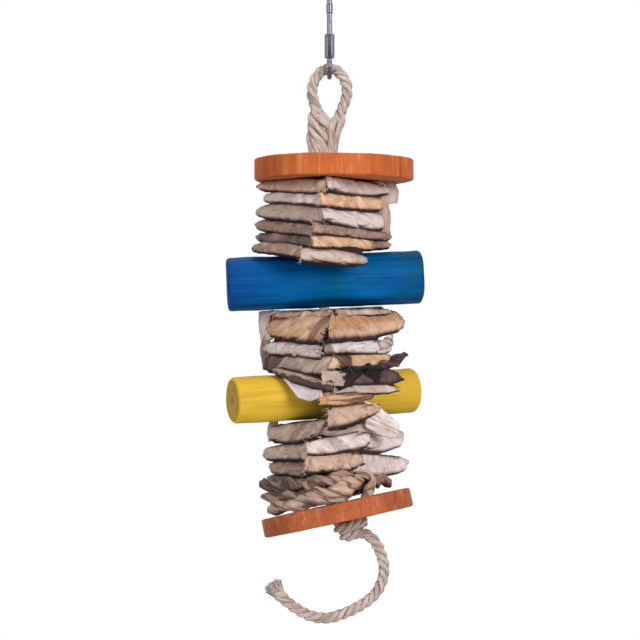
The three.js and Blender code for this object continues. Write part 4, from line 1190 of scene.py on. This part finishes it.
def foldSurface(fold, bundle, order, seed, ply):
    sheet, shape = leafSheet, foldShape
    size, longer, deep = sheet["plies"][ply]
    depth = fold.get("depth", sheet["depth"]) * deep
    reach = fold.get("reach", sheet["reach"]) - 2 * ply
    rows, loop, backLoop = (sheet[key] // (2 if ply else 1) for key in ("rows", "loop", "backLoop"))
    s = np.linspace(0, 1, rows)
    ends = [Vector(fold[key]) for key in ("outer", "middle", "corner")]
    before, after = (ends[1] - ends[0]).length, (ends[2] - ends[1]).length
    length = before + after
    middleShare = before / length
    begun, left = s * length, s * length - length      # mm past the outer end and past the corner
    along = ends[2] - ends[0]
    along = np.array([along.x, along.y, 0]) / math.hypot(along.x, along.y)
    out = np.array([along[1], -along[0], 0])
    out = -out if out[1] > 0 else out
    line = throughThree(ends, s, middleShare) - along * ((longer + shape["slack"]) * (1 - s))[:, None]
    line = line - along * ((shape["slack"] if ply else 0) * s)[:, None]
    across, frontRise, backRise, sideOf, outward, upward = padSection(
        depth, sheet["backDepth"], reach, loop, sheet["tail"], backLoop)

    def varied(key, number):               # 1, give or take the waves of that name
        amount, width = shape[key]
        return 1 + amount * waves(seed + number, begun / width)

    def nearCorner(key):                   # rises to its amount over the last few mm
        amount, width = shape[key]
        return amount * ramp(left, -width, width)

    pitch = (bundle["top"] - bundle["bottom"]) / bundle["count"]
    level = bundle["top"] - (order + 0.5) * pitch
    nearest = ends[1].z - stackLevel(bundle, level, ends[1].x, ends[1].y) + level
    nearest = min(max(nearest, bundle["bottom"] + shape["margin"]), bundle["top"] - shape["margin"])
    heights = np.interp(s, (0, middleShare, 1), fold["heights"]) * varied("heightWaves", 9)
    closing = 1 - shape["endShut"] * (1 - ramp(begun, 0, shape["endRound"])) ** shape["endCurve"]
    closing = closing - nearCorner("cornerShut")
    heights = heights * closing * size / 2 * shape["fullness"]
    room = min(bundle["top"] - level, level - bundle["bottom"]) - shape["spare"]
    backHeights = min(pitch * shape["backShare"] * size, room) * varied("backWaves", 10)

    section = np.column_stack([across, (frontRise + backRise) * fold["heights"][1] / 2])
    around = np.concatenate([[0], np.cumsum(np.linalg.norm(np.diff(section, axis=0), axis=1))])
    u, v = begun[:, None], around[None, :]
    front = ramp(across, -shape["frontStart"] * depth, shape["frontWidth"] * depth)
    rear = ramp(across, -depth, depth + sheet["backDepth"] - reach)
    hidden = ramp(across, -shape["hiddenStart"] * depth, -depth)
    retreat = shape["retreat"] * (1 - ramp(begun, 0, shape["retreatWidth"])) ** shape["endCurve"]
    flattened = np.outer(nearCorner("cornerFlat"), ramp(across, -depth, shape["flatWidth"] * depth))
    depths = across[None, :] * (1 - flattened)
    depths = depths - np.outer(retreat + nearCorner("cornerBack"), front)
    points = line[:, None, :] + depths[..., None] * out
    past = np.dot(np.array(fold["corner"][:2]) - bundle["centre"], (-out[0], out[1])) - sheet["faceReach"]
    inner, outer = ramp(s, *shape["innerPart"]), ramp(s, *shape["outerPart"])
    inset = (shape["inset"] + max(0, past)) * np.outer(inner, hidden)
    inset = inset - fold.get("outerInset", shape["outerInset"]) * np.outer(outer, hidden)
    inset = inset + np.outer(outer - inner, fold.get("flare", 0) * np.sin(math.pi * rear))
    points -= inset[..., None] * along
    lying = stackLevel(bundle, nearest, points[..., 0], points[..., 1]) * (1 - rear)
    lying = lying + stackLevel(bundle, level, points[..., 0], points[..., 1]) * rear
    points[..., 2] = (lying * (1 - front) + line[:, None, 2] * front
                      + sideOf[None, :] * sheet["plyGap"] * size
                      + np.outer(heights, frontRise) + np.outer(backHeights, backRise))

    fromFold = v - around[loop // 2]
    lean = u + fold.get("skew", shape["skew"]) * fromFold
    pleats = np.abs(hills(seed + 1, lean / shape["pleatWidth"], v / shape["pleatLength"]))
    pleats = pleats - shape["pleatLevel"]
    lumps = sum(amount * hills(seed + 2 + i, u / long, v / wide)
                for i, (amount, long, wide) in enumerate(shape["lumps"]))
    ridges, creases = creaseRelief(seed + 4, u, fromFold, length, fold.get("creases", shape["creases"]))
    rolled = np.maximum(front, np.abs(backRise))[None, :]
    turned = 0 * (u + v)
    if "band" in fold:                     # where the leaf's edge is turned over on itself
        first, last, side = fold["band"]
        amount, width = shape["bandWaves"]
        limit = first + (last - first) * s + amount * waves(seed + 12, begun / width)
        turned = side * (limit[:, None] - frontRise[None, :]) / shape["bandEdge"] + 0.5
        turned = smoothStep(turned) * (across > -shape["bandReach"] * depth)[None, :]
    bulge = shape["pleatHeight"] * fold["pleat"] * pleats + lumps + ridges + shape["turnedLift"] * turned
    bulge = bulge * (shape["flatBulge"] + (1 - shape["flatBulge"]) * rolled) * size
    bulge = bulge - shape["tilt"] * heights[:, None] * frontRise[None, :] * (outward > 0)[None, :]
    points += (bulge * outward[None, :])[..., None] * out
    points[..., 2] += shape["upBulge"] * bulge * upward[None, :]

    def jagged(key, *numbers):             # an uneven cut edge
        return sum(amount * waves(seed + number, around / width)
                   for (amount, width), number in zip(shape[key], numbers))

    cornerJag = jagged("jag", 5, 6) + fold.get("slant", 0) * frontRise
    points += np.outer(ramp(s, *shape["jagPart"]), cornerJag)[..., None] * along
    points -= np.outer(ramp(s, *shape["startJagPart"]), jagged("startJag", 7, 11))[..., None] * along

    def mark(place, width, tilt, strength):    # a patch across the roll
        shift = s[:, None] - place - tilt * shape["markTilt"] * frontRise[None, :]
        amount, long = shape["markWaves"]
        edge = width * (1 + amount * hills(seed + 8, u / long, v / long))
        return strength * smoothStep((edge - np.abs(shift)) / (shape["markBlur"] * width) + 0.5)

    # painted shade: where the rolls tuck under one another and between the plies, the leaf is darkened as if
    # shadowed
    under = np.maximum(-frontRise, shape["underTop"] * frontRise)
    tuckedShade = np.maximum(ramp(-across / depth, *shape["tuckDeep"]), ramp(under, *shape["tuckSide"]))
    tuckedShade = tuckedShade * (across > -reach + sheet["backDepth"])
    stain = np.maximum(shape["tuckStain"] * tuckedShade[None, :],
                       shape["cornerStain"] * ramp(s, *shape["cornerRim"])[:, None])
    stain = np.maximum(stain, shape["startStain"] * ramp(s, *shape["startRim"])[:, None])
    # painted shade: the lines of sunken creases are darkened
    stain = stain + shape["creaseStain"] * creases
    # painted shadow: a dark line along the rim of the turned-over edge
    rim = shape["bandRim"]
    stain = np.maximum(stain, shape["bandStain"] * smoothStep(1 - np.abs(turned - rim) / rim))
    for row in fold.get("stains", ()):
        stain = np.maximum(stain, mark(*row))
    for row in fold.get("lights", ()):
        turned = np.maximum(turned, mark(*row))
    right, up = shape["mapShift"]
    uvs = np.stack(np.broadcast_arrays(lean / shape["mapSize"] + seed * right,
                                       v / shape["mapSize"] + seed * up), axis=-1)
    shade = fold.get("shade", shape["shade"])
    stain = np.clip(stain, 0, 1) + shade * tuckedShade[None, :]     # painted shade: over 1 lies deep in a fold and is painted near black
    return points, uvs, stain, turned, out


def leafPiece(name, points, faces, uvs, material, attributes):
    piece = meshPiece(name, points, faces, uvs, "leafMap", material, attributes)
    applyModifier(piece, "SOLIDIFY", thickness=leafSheet["thickness"] * mm, offset=-1)
    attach(piece, "rope")
    return piece


def facingOut(faces, inward):
    return [face[::-1] for face in faces] if inward else faces


def foldMesh(name, fold, bundle, order, seed, materials):
    points, faces, uvs, stains, turns = [], [], [], [], []
    for ply in range(len(leafSheet["plies"])):
        surface, place, stain, turned, out = foldSurface(fold, bundle, order, seed + 40 * ply, ply)
        rows, columns = surface.shape[:2]
        grid = gridFaces(rows, columns, sum(len(p) for p in points), closed=True)
        row, column = rows // 2, (leafSheet["loop"] // (2 if ply else 1)) // 2
        a, b, c = surface[row, column], surface[row, column + 1], surface[row + 1, column]
        faces += facingOut(grid, np.dot(np.cross(b - a, c - a), out) < 0)
        points.append(surface.reshape(-1, 3))
        uvs.append(place.reshape(-1, 2))
        stains.append(stain.reshape(-1))
        turns.append(turned.reshape(-1))
    return leafPiece(name, np.vstack(points), faces, np.vstack(uvs), materials[fold["tone"]],
                     {"stain": np.concatenate(stains), "turned": np.concatenate(turns)})


# Loose flaps of leaf that hang out of the bundles, in mm: a middle line, the way across it and its widths
flaps = [
    {"name": "upperFlap1", "path": [(41.6, 4, -125.8), (42.8, 3, -132), (42.4, 3, -139.6)],
     "across": (8, 5, 0.5), "widths": (9, 11, 9), "curl": 1.4, "tone": "grey"},
    {"name": "upperFlap2", "path": [(36, 2, -128), (36.4, 1, -142), (37.2, 2, -159.4)],
     "across": (8.4, 4, -1), "widths": (8, 11, 10), "curl": 2, "tone": "tan"},
    {"name": "middleFlap1", "path": [(-36, 3, -211.6), (-40.6, 1, -220), (-42.6, 0, -231)],
     "across": (9, -5, 0), "widths": (26, 15, 9), "curl": 1.2, "tone": "pale"},
    {"name": "middleFlap2", "path": [(-42.6, 2, -224), (-43.4, 0, -238), (-41.6, 1, -251.4)],
     "across": (7, -4, 0), "widths": (7, 9, 8), "curl": 1.4, "tone": "brown"},
    {"name": "middleFlap4", "path": [(-5, -52, -253.8), (4, -46.4, -254.6), (13.4, -38.4, -255.2)],
     "across": (1, -2, -10), "widths": (9, 10, 10), "curl": 1, "tone": "grey"},
    {"name": "middleFlap5", "node": "middle_leaf_right_5", "across": (0, -1.5, -7.6),
     "widths": (7.4, 9.4, 8.4, 4.4), "path": [(-6.6, -47, -268), (4, -43, -267.4), (16, -40.4, -267),
     (28.2, -38, -266.4)], "curl": 0.8, "tone": "amber", "stain": 0.85},
    {"name": "middleFlap6", "node": "middle_leaf_left_5", "across": (0, -6, -13),
     "widths": (2.6, 9.4, 15.6, 14.6, 8), "path": [(-33.6, -20.6, -251.2), (-26.3, -29.4, -255.8),
     (-19, -35.4, -260.8), (-11, -41, -263), (-4.6, -46.4, -262.4)], "curl": 0.8, "tone": "white"},
    {"name": "lowerFlap1", "path": [(-37.6, -4, -284.6), (-38.6, -4, -291), (-38.4, -5, -298.6)],
     "across": (6, -4, 0), "widths": (7, 8, 8), "curl": 1.4, "tone": "grey"},
    {"name": "lowerFlap2", "node": "lower_leaf_right_1", "across": (0.6, 2, -10), "widths": (17, 21.4, 18, 9),
     "path": [(22.6, -41.8, -278), (32, -41.2, -282.8), (39, -40.6, -286.4), (44.4, -40, -289)], "curl": 0.8,
     "tone": "pale", "pleat": 0.7},
    {"name": "lowerFlap3", "path": [(-9, -38.4, -287.4), (10, -38.4, -288.6), (34, -33, -287.4)],
     "across": (0.4, 1, -10), "widths": (9, 11, 11), "curl": 1.2, "tone": "grey", "pleat": 0.2},
]
twists = [                                 # leaves wrung into twists
    {"name": "lowerTwist1", "path": [(-46, -5, -326.6), (-38, -12, -326.8), (-30, -21, -325.6),
     (-15, -37, -323)], "radius": 4.6, "turns": 0.8, "tone": "dark"},
    {"name": "lowerTwist2", "path": [(-19, -35, -324), (-6, -42, -321.4), (6, -43.6, -318.6),
     (15, -41, -316.2)], "radius": 4.3, "turns": 1.1, "tone": "brown"},
    {"name": "lowerTwist3", "path": [(-15, -41, -330.4), (0, -45, -327.6), (12, -44, -323.4),
     (21, -40, -320)], "radius": 5.2, "turns": 1, "tone": "tan"},
    {"name": "lowerTwist4", "path": [(16, -43, -318.4), (23, -41, -316.8), (27.2, -39, -320.6),
     (25.4, -39, -327), (20.6, -40.6, -331.6)], "radius": 3.8, "turns": 0.7, "tone": "tan"},
    {"name": "lowerTwist5", "path": [(-44, -7, -334.6), (-29, -22, -333.2), (-12.5, -38, -330.6)],
     "radius": 4.7, "turns": 0.6, "tone": "brown"},
    {"name": "lowerTwist6", "path": [(-40, -12, -342.6), (-30, -24, -339.4), (-17, -37, -335),
     (0, -43, -332.2), (14, -42, -328.6)], "radius": 4.7, "turns": 1.2, "tone": "grey"},
    {"name": "lowerTwist7", "path": [(24, -33, -321), (33, -18, -322.6), (40, -4, -326)], "radius": 5.2,
     "turns": 0.8, "tone": "brown"},
    {"name": "middleTwist", "path": [(30, -14, -249), (38, -5, -247.6), (45, 1, -244.6), (51, 5, -240.4)],
     "radius": 2.6, "flare": 0.9, "turns": 1, "tone": "maroon"},
    {"name": "rightTwist", "path": [(33, -9, -235), (38.4, -3.6, -233), (41.6, -0.4, -228.6)], "radius": 4.4,
     "turns": 0.7, "tone": "pale"},
]


# painted shade: the pleat stain setting darkens the valleys between pleats
flapLook = {"step": 0.9, "columns": 25, "bow": (0.5, 6), "ruffle": (0.5, 9, 6), "pleat": 0.08,
            "pleatSize": (1.7, 30), "pleatStain": (0.22, -0.2), "fray": (0.3, 2.4), "frayPart": (0.3, 0.2),
            "sway": (0.08, 7), "tips": (0.6, 2), "tipReach": 4, "edgeStain": 0.5, "edgePart": (0.44, 0.06),
            "spots": (1.4, 9, 0.9), "spotStart": 0.3, "spotRise": 3, "mapSize": 10, "mapShift": 0.7}
# painted shade: the groove stain setting darkens the sunken grooves
twistLook = {"step": 0.7, "sides": 48, "squash": 0.62, "lumps": 0.08, "tip": 0.5, "tipReach": 7,
             "swell": (1.15, 0.2, 7), "stray": (0.6, 11), "strayRing": (3, 1.5), "groove": 0.26,
             "grooveCurve": 1.5, "grooveEdge": 0.3, "grooveStain": 0.95, "patch": (2, 5, 0.3),
             "patchRing": (5, 2), "patchStain": 0.8, "mapScale": (1.3, 0.6)}


def makeFlap(flap, seed, materials):
    look = flapLook
    path, along = smoothPath(flap["path"], look["step"])
    across = np.asarray(flap["across"], dtype=float)
    across /= np.linalg.norm(across)
    width = np.interp(along / along[-1], np.linspace(0, 1, len(flap["widths"])), flap["widths"])[:, None]
    w = np.linspace(-0.5, 0.5, look["columns"])[None, :]
    tangents = carriedFrames(path)[0]
    normals = np.cross(tangents, across)
    normals *= np.where(normals[:, 1] > 0, -1, 1)[:, None]
    u, v = along[:, None], w * width
    wide, long = look["pleatSize"]
    pleats = np.abs(hills(seed + 1, v / wide, u / long))
    rise, bow = look["bow"]
    amount, long, wide = look["ruffle"]
    lift = flap["curl"] * (rise - bow * w ** 2) + amount * hills(seed, u / long, v / wide)
    pleatHeight = flap.get("pleat", look["pleat"]) * foldShape["pleatHeight"]
    lift = lift + pleatHeight * (pleats - foldShape["pleatLevel"])
    amount, long = look["fray"]
    frayed = amount * waves(seed + 2, u / long) * np.sign(w) * ramp(np.abs(w), *look["frayPart"])
    amount, long = look["sway"]
    sway = 1 + amount * waves(seed + 3, u / long)
    points = (path[:, None, :] + (v * sway + frayed)[..., None] * across
              + lift[..., None] * normals[:, None, :])
    reach = look["tipReach"]
    ends = ramp(u - along[-1], -reach, reach) - ramp(u, reach, -reach)
    amount, wide = look["tips"]
    points += (amount * waves(seed + 4, v / wide) * ends)[..., None] * tangents[:, None, :]
    edge = look["edgeStain"] * ramp(np.abs(w), *look["edgePart"])
    amount, long, wide = look["spots"]
    spots = look["spotRise"] * (u / along[-1] - look["spotStart"])
    spots = smoothStep(spots + amount * hills(seed + 5, u / long, v / wide))
    stain = np.maximum(edge, flap.get("stain", 0) * spots)
    # painted shade: the sunken valleys between pleats are darkened
    stain = np.maximum(stain, flap.get("pleat", 0) * ramp(pleats, *look["pleatStain"]))
    uvs = np.stack(np.broadcast_arrays(v / look["mapSize"] + seed,
                                       u / look["mapSize"] + seed * look["mapShift"]), axis=-1)
    facing = np.cross(points[0, 1] - points[0, 0], points[1, 0] - points[0, 0])
    grid = facingOut(gridFaces(len(path), look["columns"]), facing[1] > 0)
    piece = leafPiece(flap["name"], points.reshape(-1, 3), grid, uvs.reshape(-1, 2), materials[flap["tone"]],
                      {"stain": np.clip(stain, 0, 1).reshape(-1)})
    if "node" in flap:
        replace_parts(piece, flap["node"])


def makeTwist(twist, seed, materials):     # a flattened leaf wrung round itself, with folds running round it
    look = twistLook
    path, along = smoothPath(twist["path"], look["step"])
    share = along / along[-1]
    angles = np.linspace(0, 2 * math.pi, look["sides"], endpoint=False)[None, :]
    turns = seed + 2 * math.pi * twist["turns"] * share
    taper = smoothStep(np.minimum(along, along[-1] - along) / look["tipReach"])
    taper = (look["tip"] + (1 - look["tip"]) * taper) * (1 + twist.get("flare", 0) * share)
    plain, swell, long = look["swell"]
    radii = twist["radius"] * taper * (plain + swell * waves(seed, along / long))
    amount, long = look["stray"]
    middle, ring = look["strayRing"]
    stray = amount * hills(seed + 2, along[:, None] / long, middle + ring * np.cos(angles))
    phase = (2 * angles - 2 * turns[:, None]) / (2 * math.pi) + stray
    groove = np.abs(2 * (phase % 1) - 1)
    points, faces, uvs, sides = sweep(path, along, radii, look["sides"], squash=look["squash"], turns=turns,
                                      seed=seed % 97, lumps=look["lumps"],
                                      relief=1 - look["groove"] * (1 - groove) ** look["grooveCurve"])
    amount, long, start = look["patch"]
    middle, ring = look["patchRing"]
    patch = amount * hills(seed + 5, along[:, None] / long, middle + ring * np.sin(angles))
    patch = smoothStep(patch - start)
    # painted shade: the sunken grooves of the twist are darkened; the patches are real stains
    stain = np.maximum(look["grooveStain"] * ramp(groove, look["grooveEdge"], -look["grooveEdge"]),
                       look["patchStain"] * patch)
    parts = gather([(points, faces, uvs[:, ::-1] * look["mapScale"], sides)])
    piece = meshPiece(twist["name"], *parts, "leafMap", materials[twist["tone"]],
                      {"stain": stain.reshape(-1)})
    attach(piece, "rope")


frayLook = {"perEnd": 26, "radius": 0.17, "lengths": (1.2, 4.2), "rooted": 0.4, "aside": 0.5, "stray": 0.45,
            "curl": 0.35}


looseSeeds = {"side": (1700, 100), "flap": (2000, 20), "twist": (3000, 20)}    # the first, and the step


def foldSeed(order, firstSeed):
    return 100 * (1 + order) + firstSeed


def looseSeed(kind, i):
    first, step = looseSeeds[kind]
    return first + step * i


def frayEnds(name, folds, bundle, firstSeed, material):
    look, loop = frayLook, leafSheet["loop"]
    random = np.random.default_rng(firstSeed)
    threads = []
    for i, fold in enumerate(folds):
        surface, *others, out = foldSurface(fold, bundle, i, foldSeed(i, firstSeed), 0)
        along = surface[-1, loop // 2] - surface[-4, loop // 2]
        along /= np.linalg.norm(along)
        for column in random.integers(3, loop - 3, fold.get("fray", look["perEnd"])):
            way = along + look["aside"] * out + random.normal(0, look["stray"], 3)
            root = surface[-1, column] - look["rooted"] * along
            threads.append((root, way, random.uniform(*look["lengths"])))
    fibrePiece(name, threads, look["radius"], firstSeed, look["curl"], material)


def makeBundles(materials, thread):
    for name, folds in (("upper", upperFolds), ("middle", middleFolds), ("lower", lowerFolds)):
        firstSeed = len(name)
        for i, fold in enumerate(folds):
            node = name + "_leaf_" + fold["name"]
            pieceName = name + "Leaf" + fold["name"].replace("_", "").capitalize()
            piece = foldMesh(pieceName, fold, bundles[name], i, foldSeed(i, firstSeed), materials)
            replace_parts(piece, node)
        frayEnds(name + "Fray", folds, bundles[name], firstSeed, thread)
        print(name, "bundle made,", len(folds), "leaves")
    for i, fold in enumerate(sideFolds):
        foldMesh(fold["name"], fold, bundles[fold["bundle"]], fold["order"], looseSeed("side", i), materials)
    for i, flap in enumerate(flaps):
        makeFlap(flap, looseSeed("flap", i), materials)
    for i, twist in enumerate(twists):
        makeTwist(twist, looseSeed("twist", i), materials)
    print("flaps and twists made")


def makeStage():
    deselect()
    bpy.ops.mesh.primitive_circle_add(vertices=floorLook["sides"], radius=floorLook["radius"],
                                      fill_type="NGON", location=(0, 0, floorLook["height"]))
    floor = bpy.context.object
    floor.name = "floor"
    material, tree, shader = newMaterial("paleFloor")
    place = addNode(tree, "ShaderNodeTexCoord").outputs["Object"]
    mottle = patches(tree, place, *floorLook["mottle"])
    wire(tree, mixTone(tree, mottle, *floorLook["tones"]), shader["Base Color"])
    shader["Roughness"].default_value = floorLook["rough"]
    floor.data.materials.append(material)

    world = bpy.data.worlds.new("studio")
    bpy.context.scene.world = world
    world.use_nodes = True
    tree = world.node_tree
    rays = addNode(tree, "ShaderNodeLightPath").outputs
    seen = calc(tree, "MAXIMUM", rays["Is Camera Ray"], rays["Is Glossy Ray"])
    seen = calc(tree, "MAXIMUM", seen, rays["Is Transmission Ray"])
    background = tree.nodes["Background"].inputs
    background["Color"].default_value = (1, 1, 1, 1)
    wire(tree, spread(tree, seen, 0, 1, lightLook["ambient"], 1.0), background["Strength"])
    bpy.context.scene.view_settings.view_transform = "Standard"


makeCamera()
makeStreaks()
makeBlotches()
makeWrinkles()
makeRings()
makeStage()
makeLights()
sisal = sisalMaterial()
chrome = chromeMaterial()
leaves = {name: leafMaterial(name, tones) for name, tones in leafTones.items()}
print("finishes made")
makeRope(sisal)
makeHook(chrome)
makeLog("blueLog", "blue_log", blueLog, blueLook)
makeLog("yellowLog", "yellow_log", yellowLog, yellowLook)
makeDisc("topDisc", "top_disc", topDisc, orangeLook)
makeDisc("bottomDisc", "bottom_disc", bottomDisc, rustLook)
makeBundles(leaves, sisal)
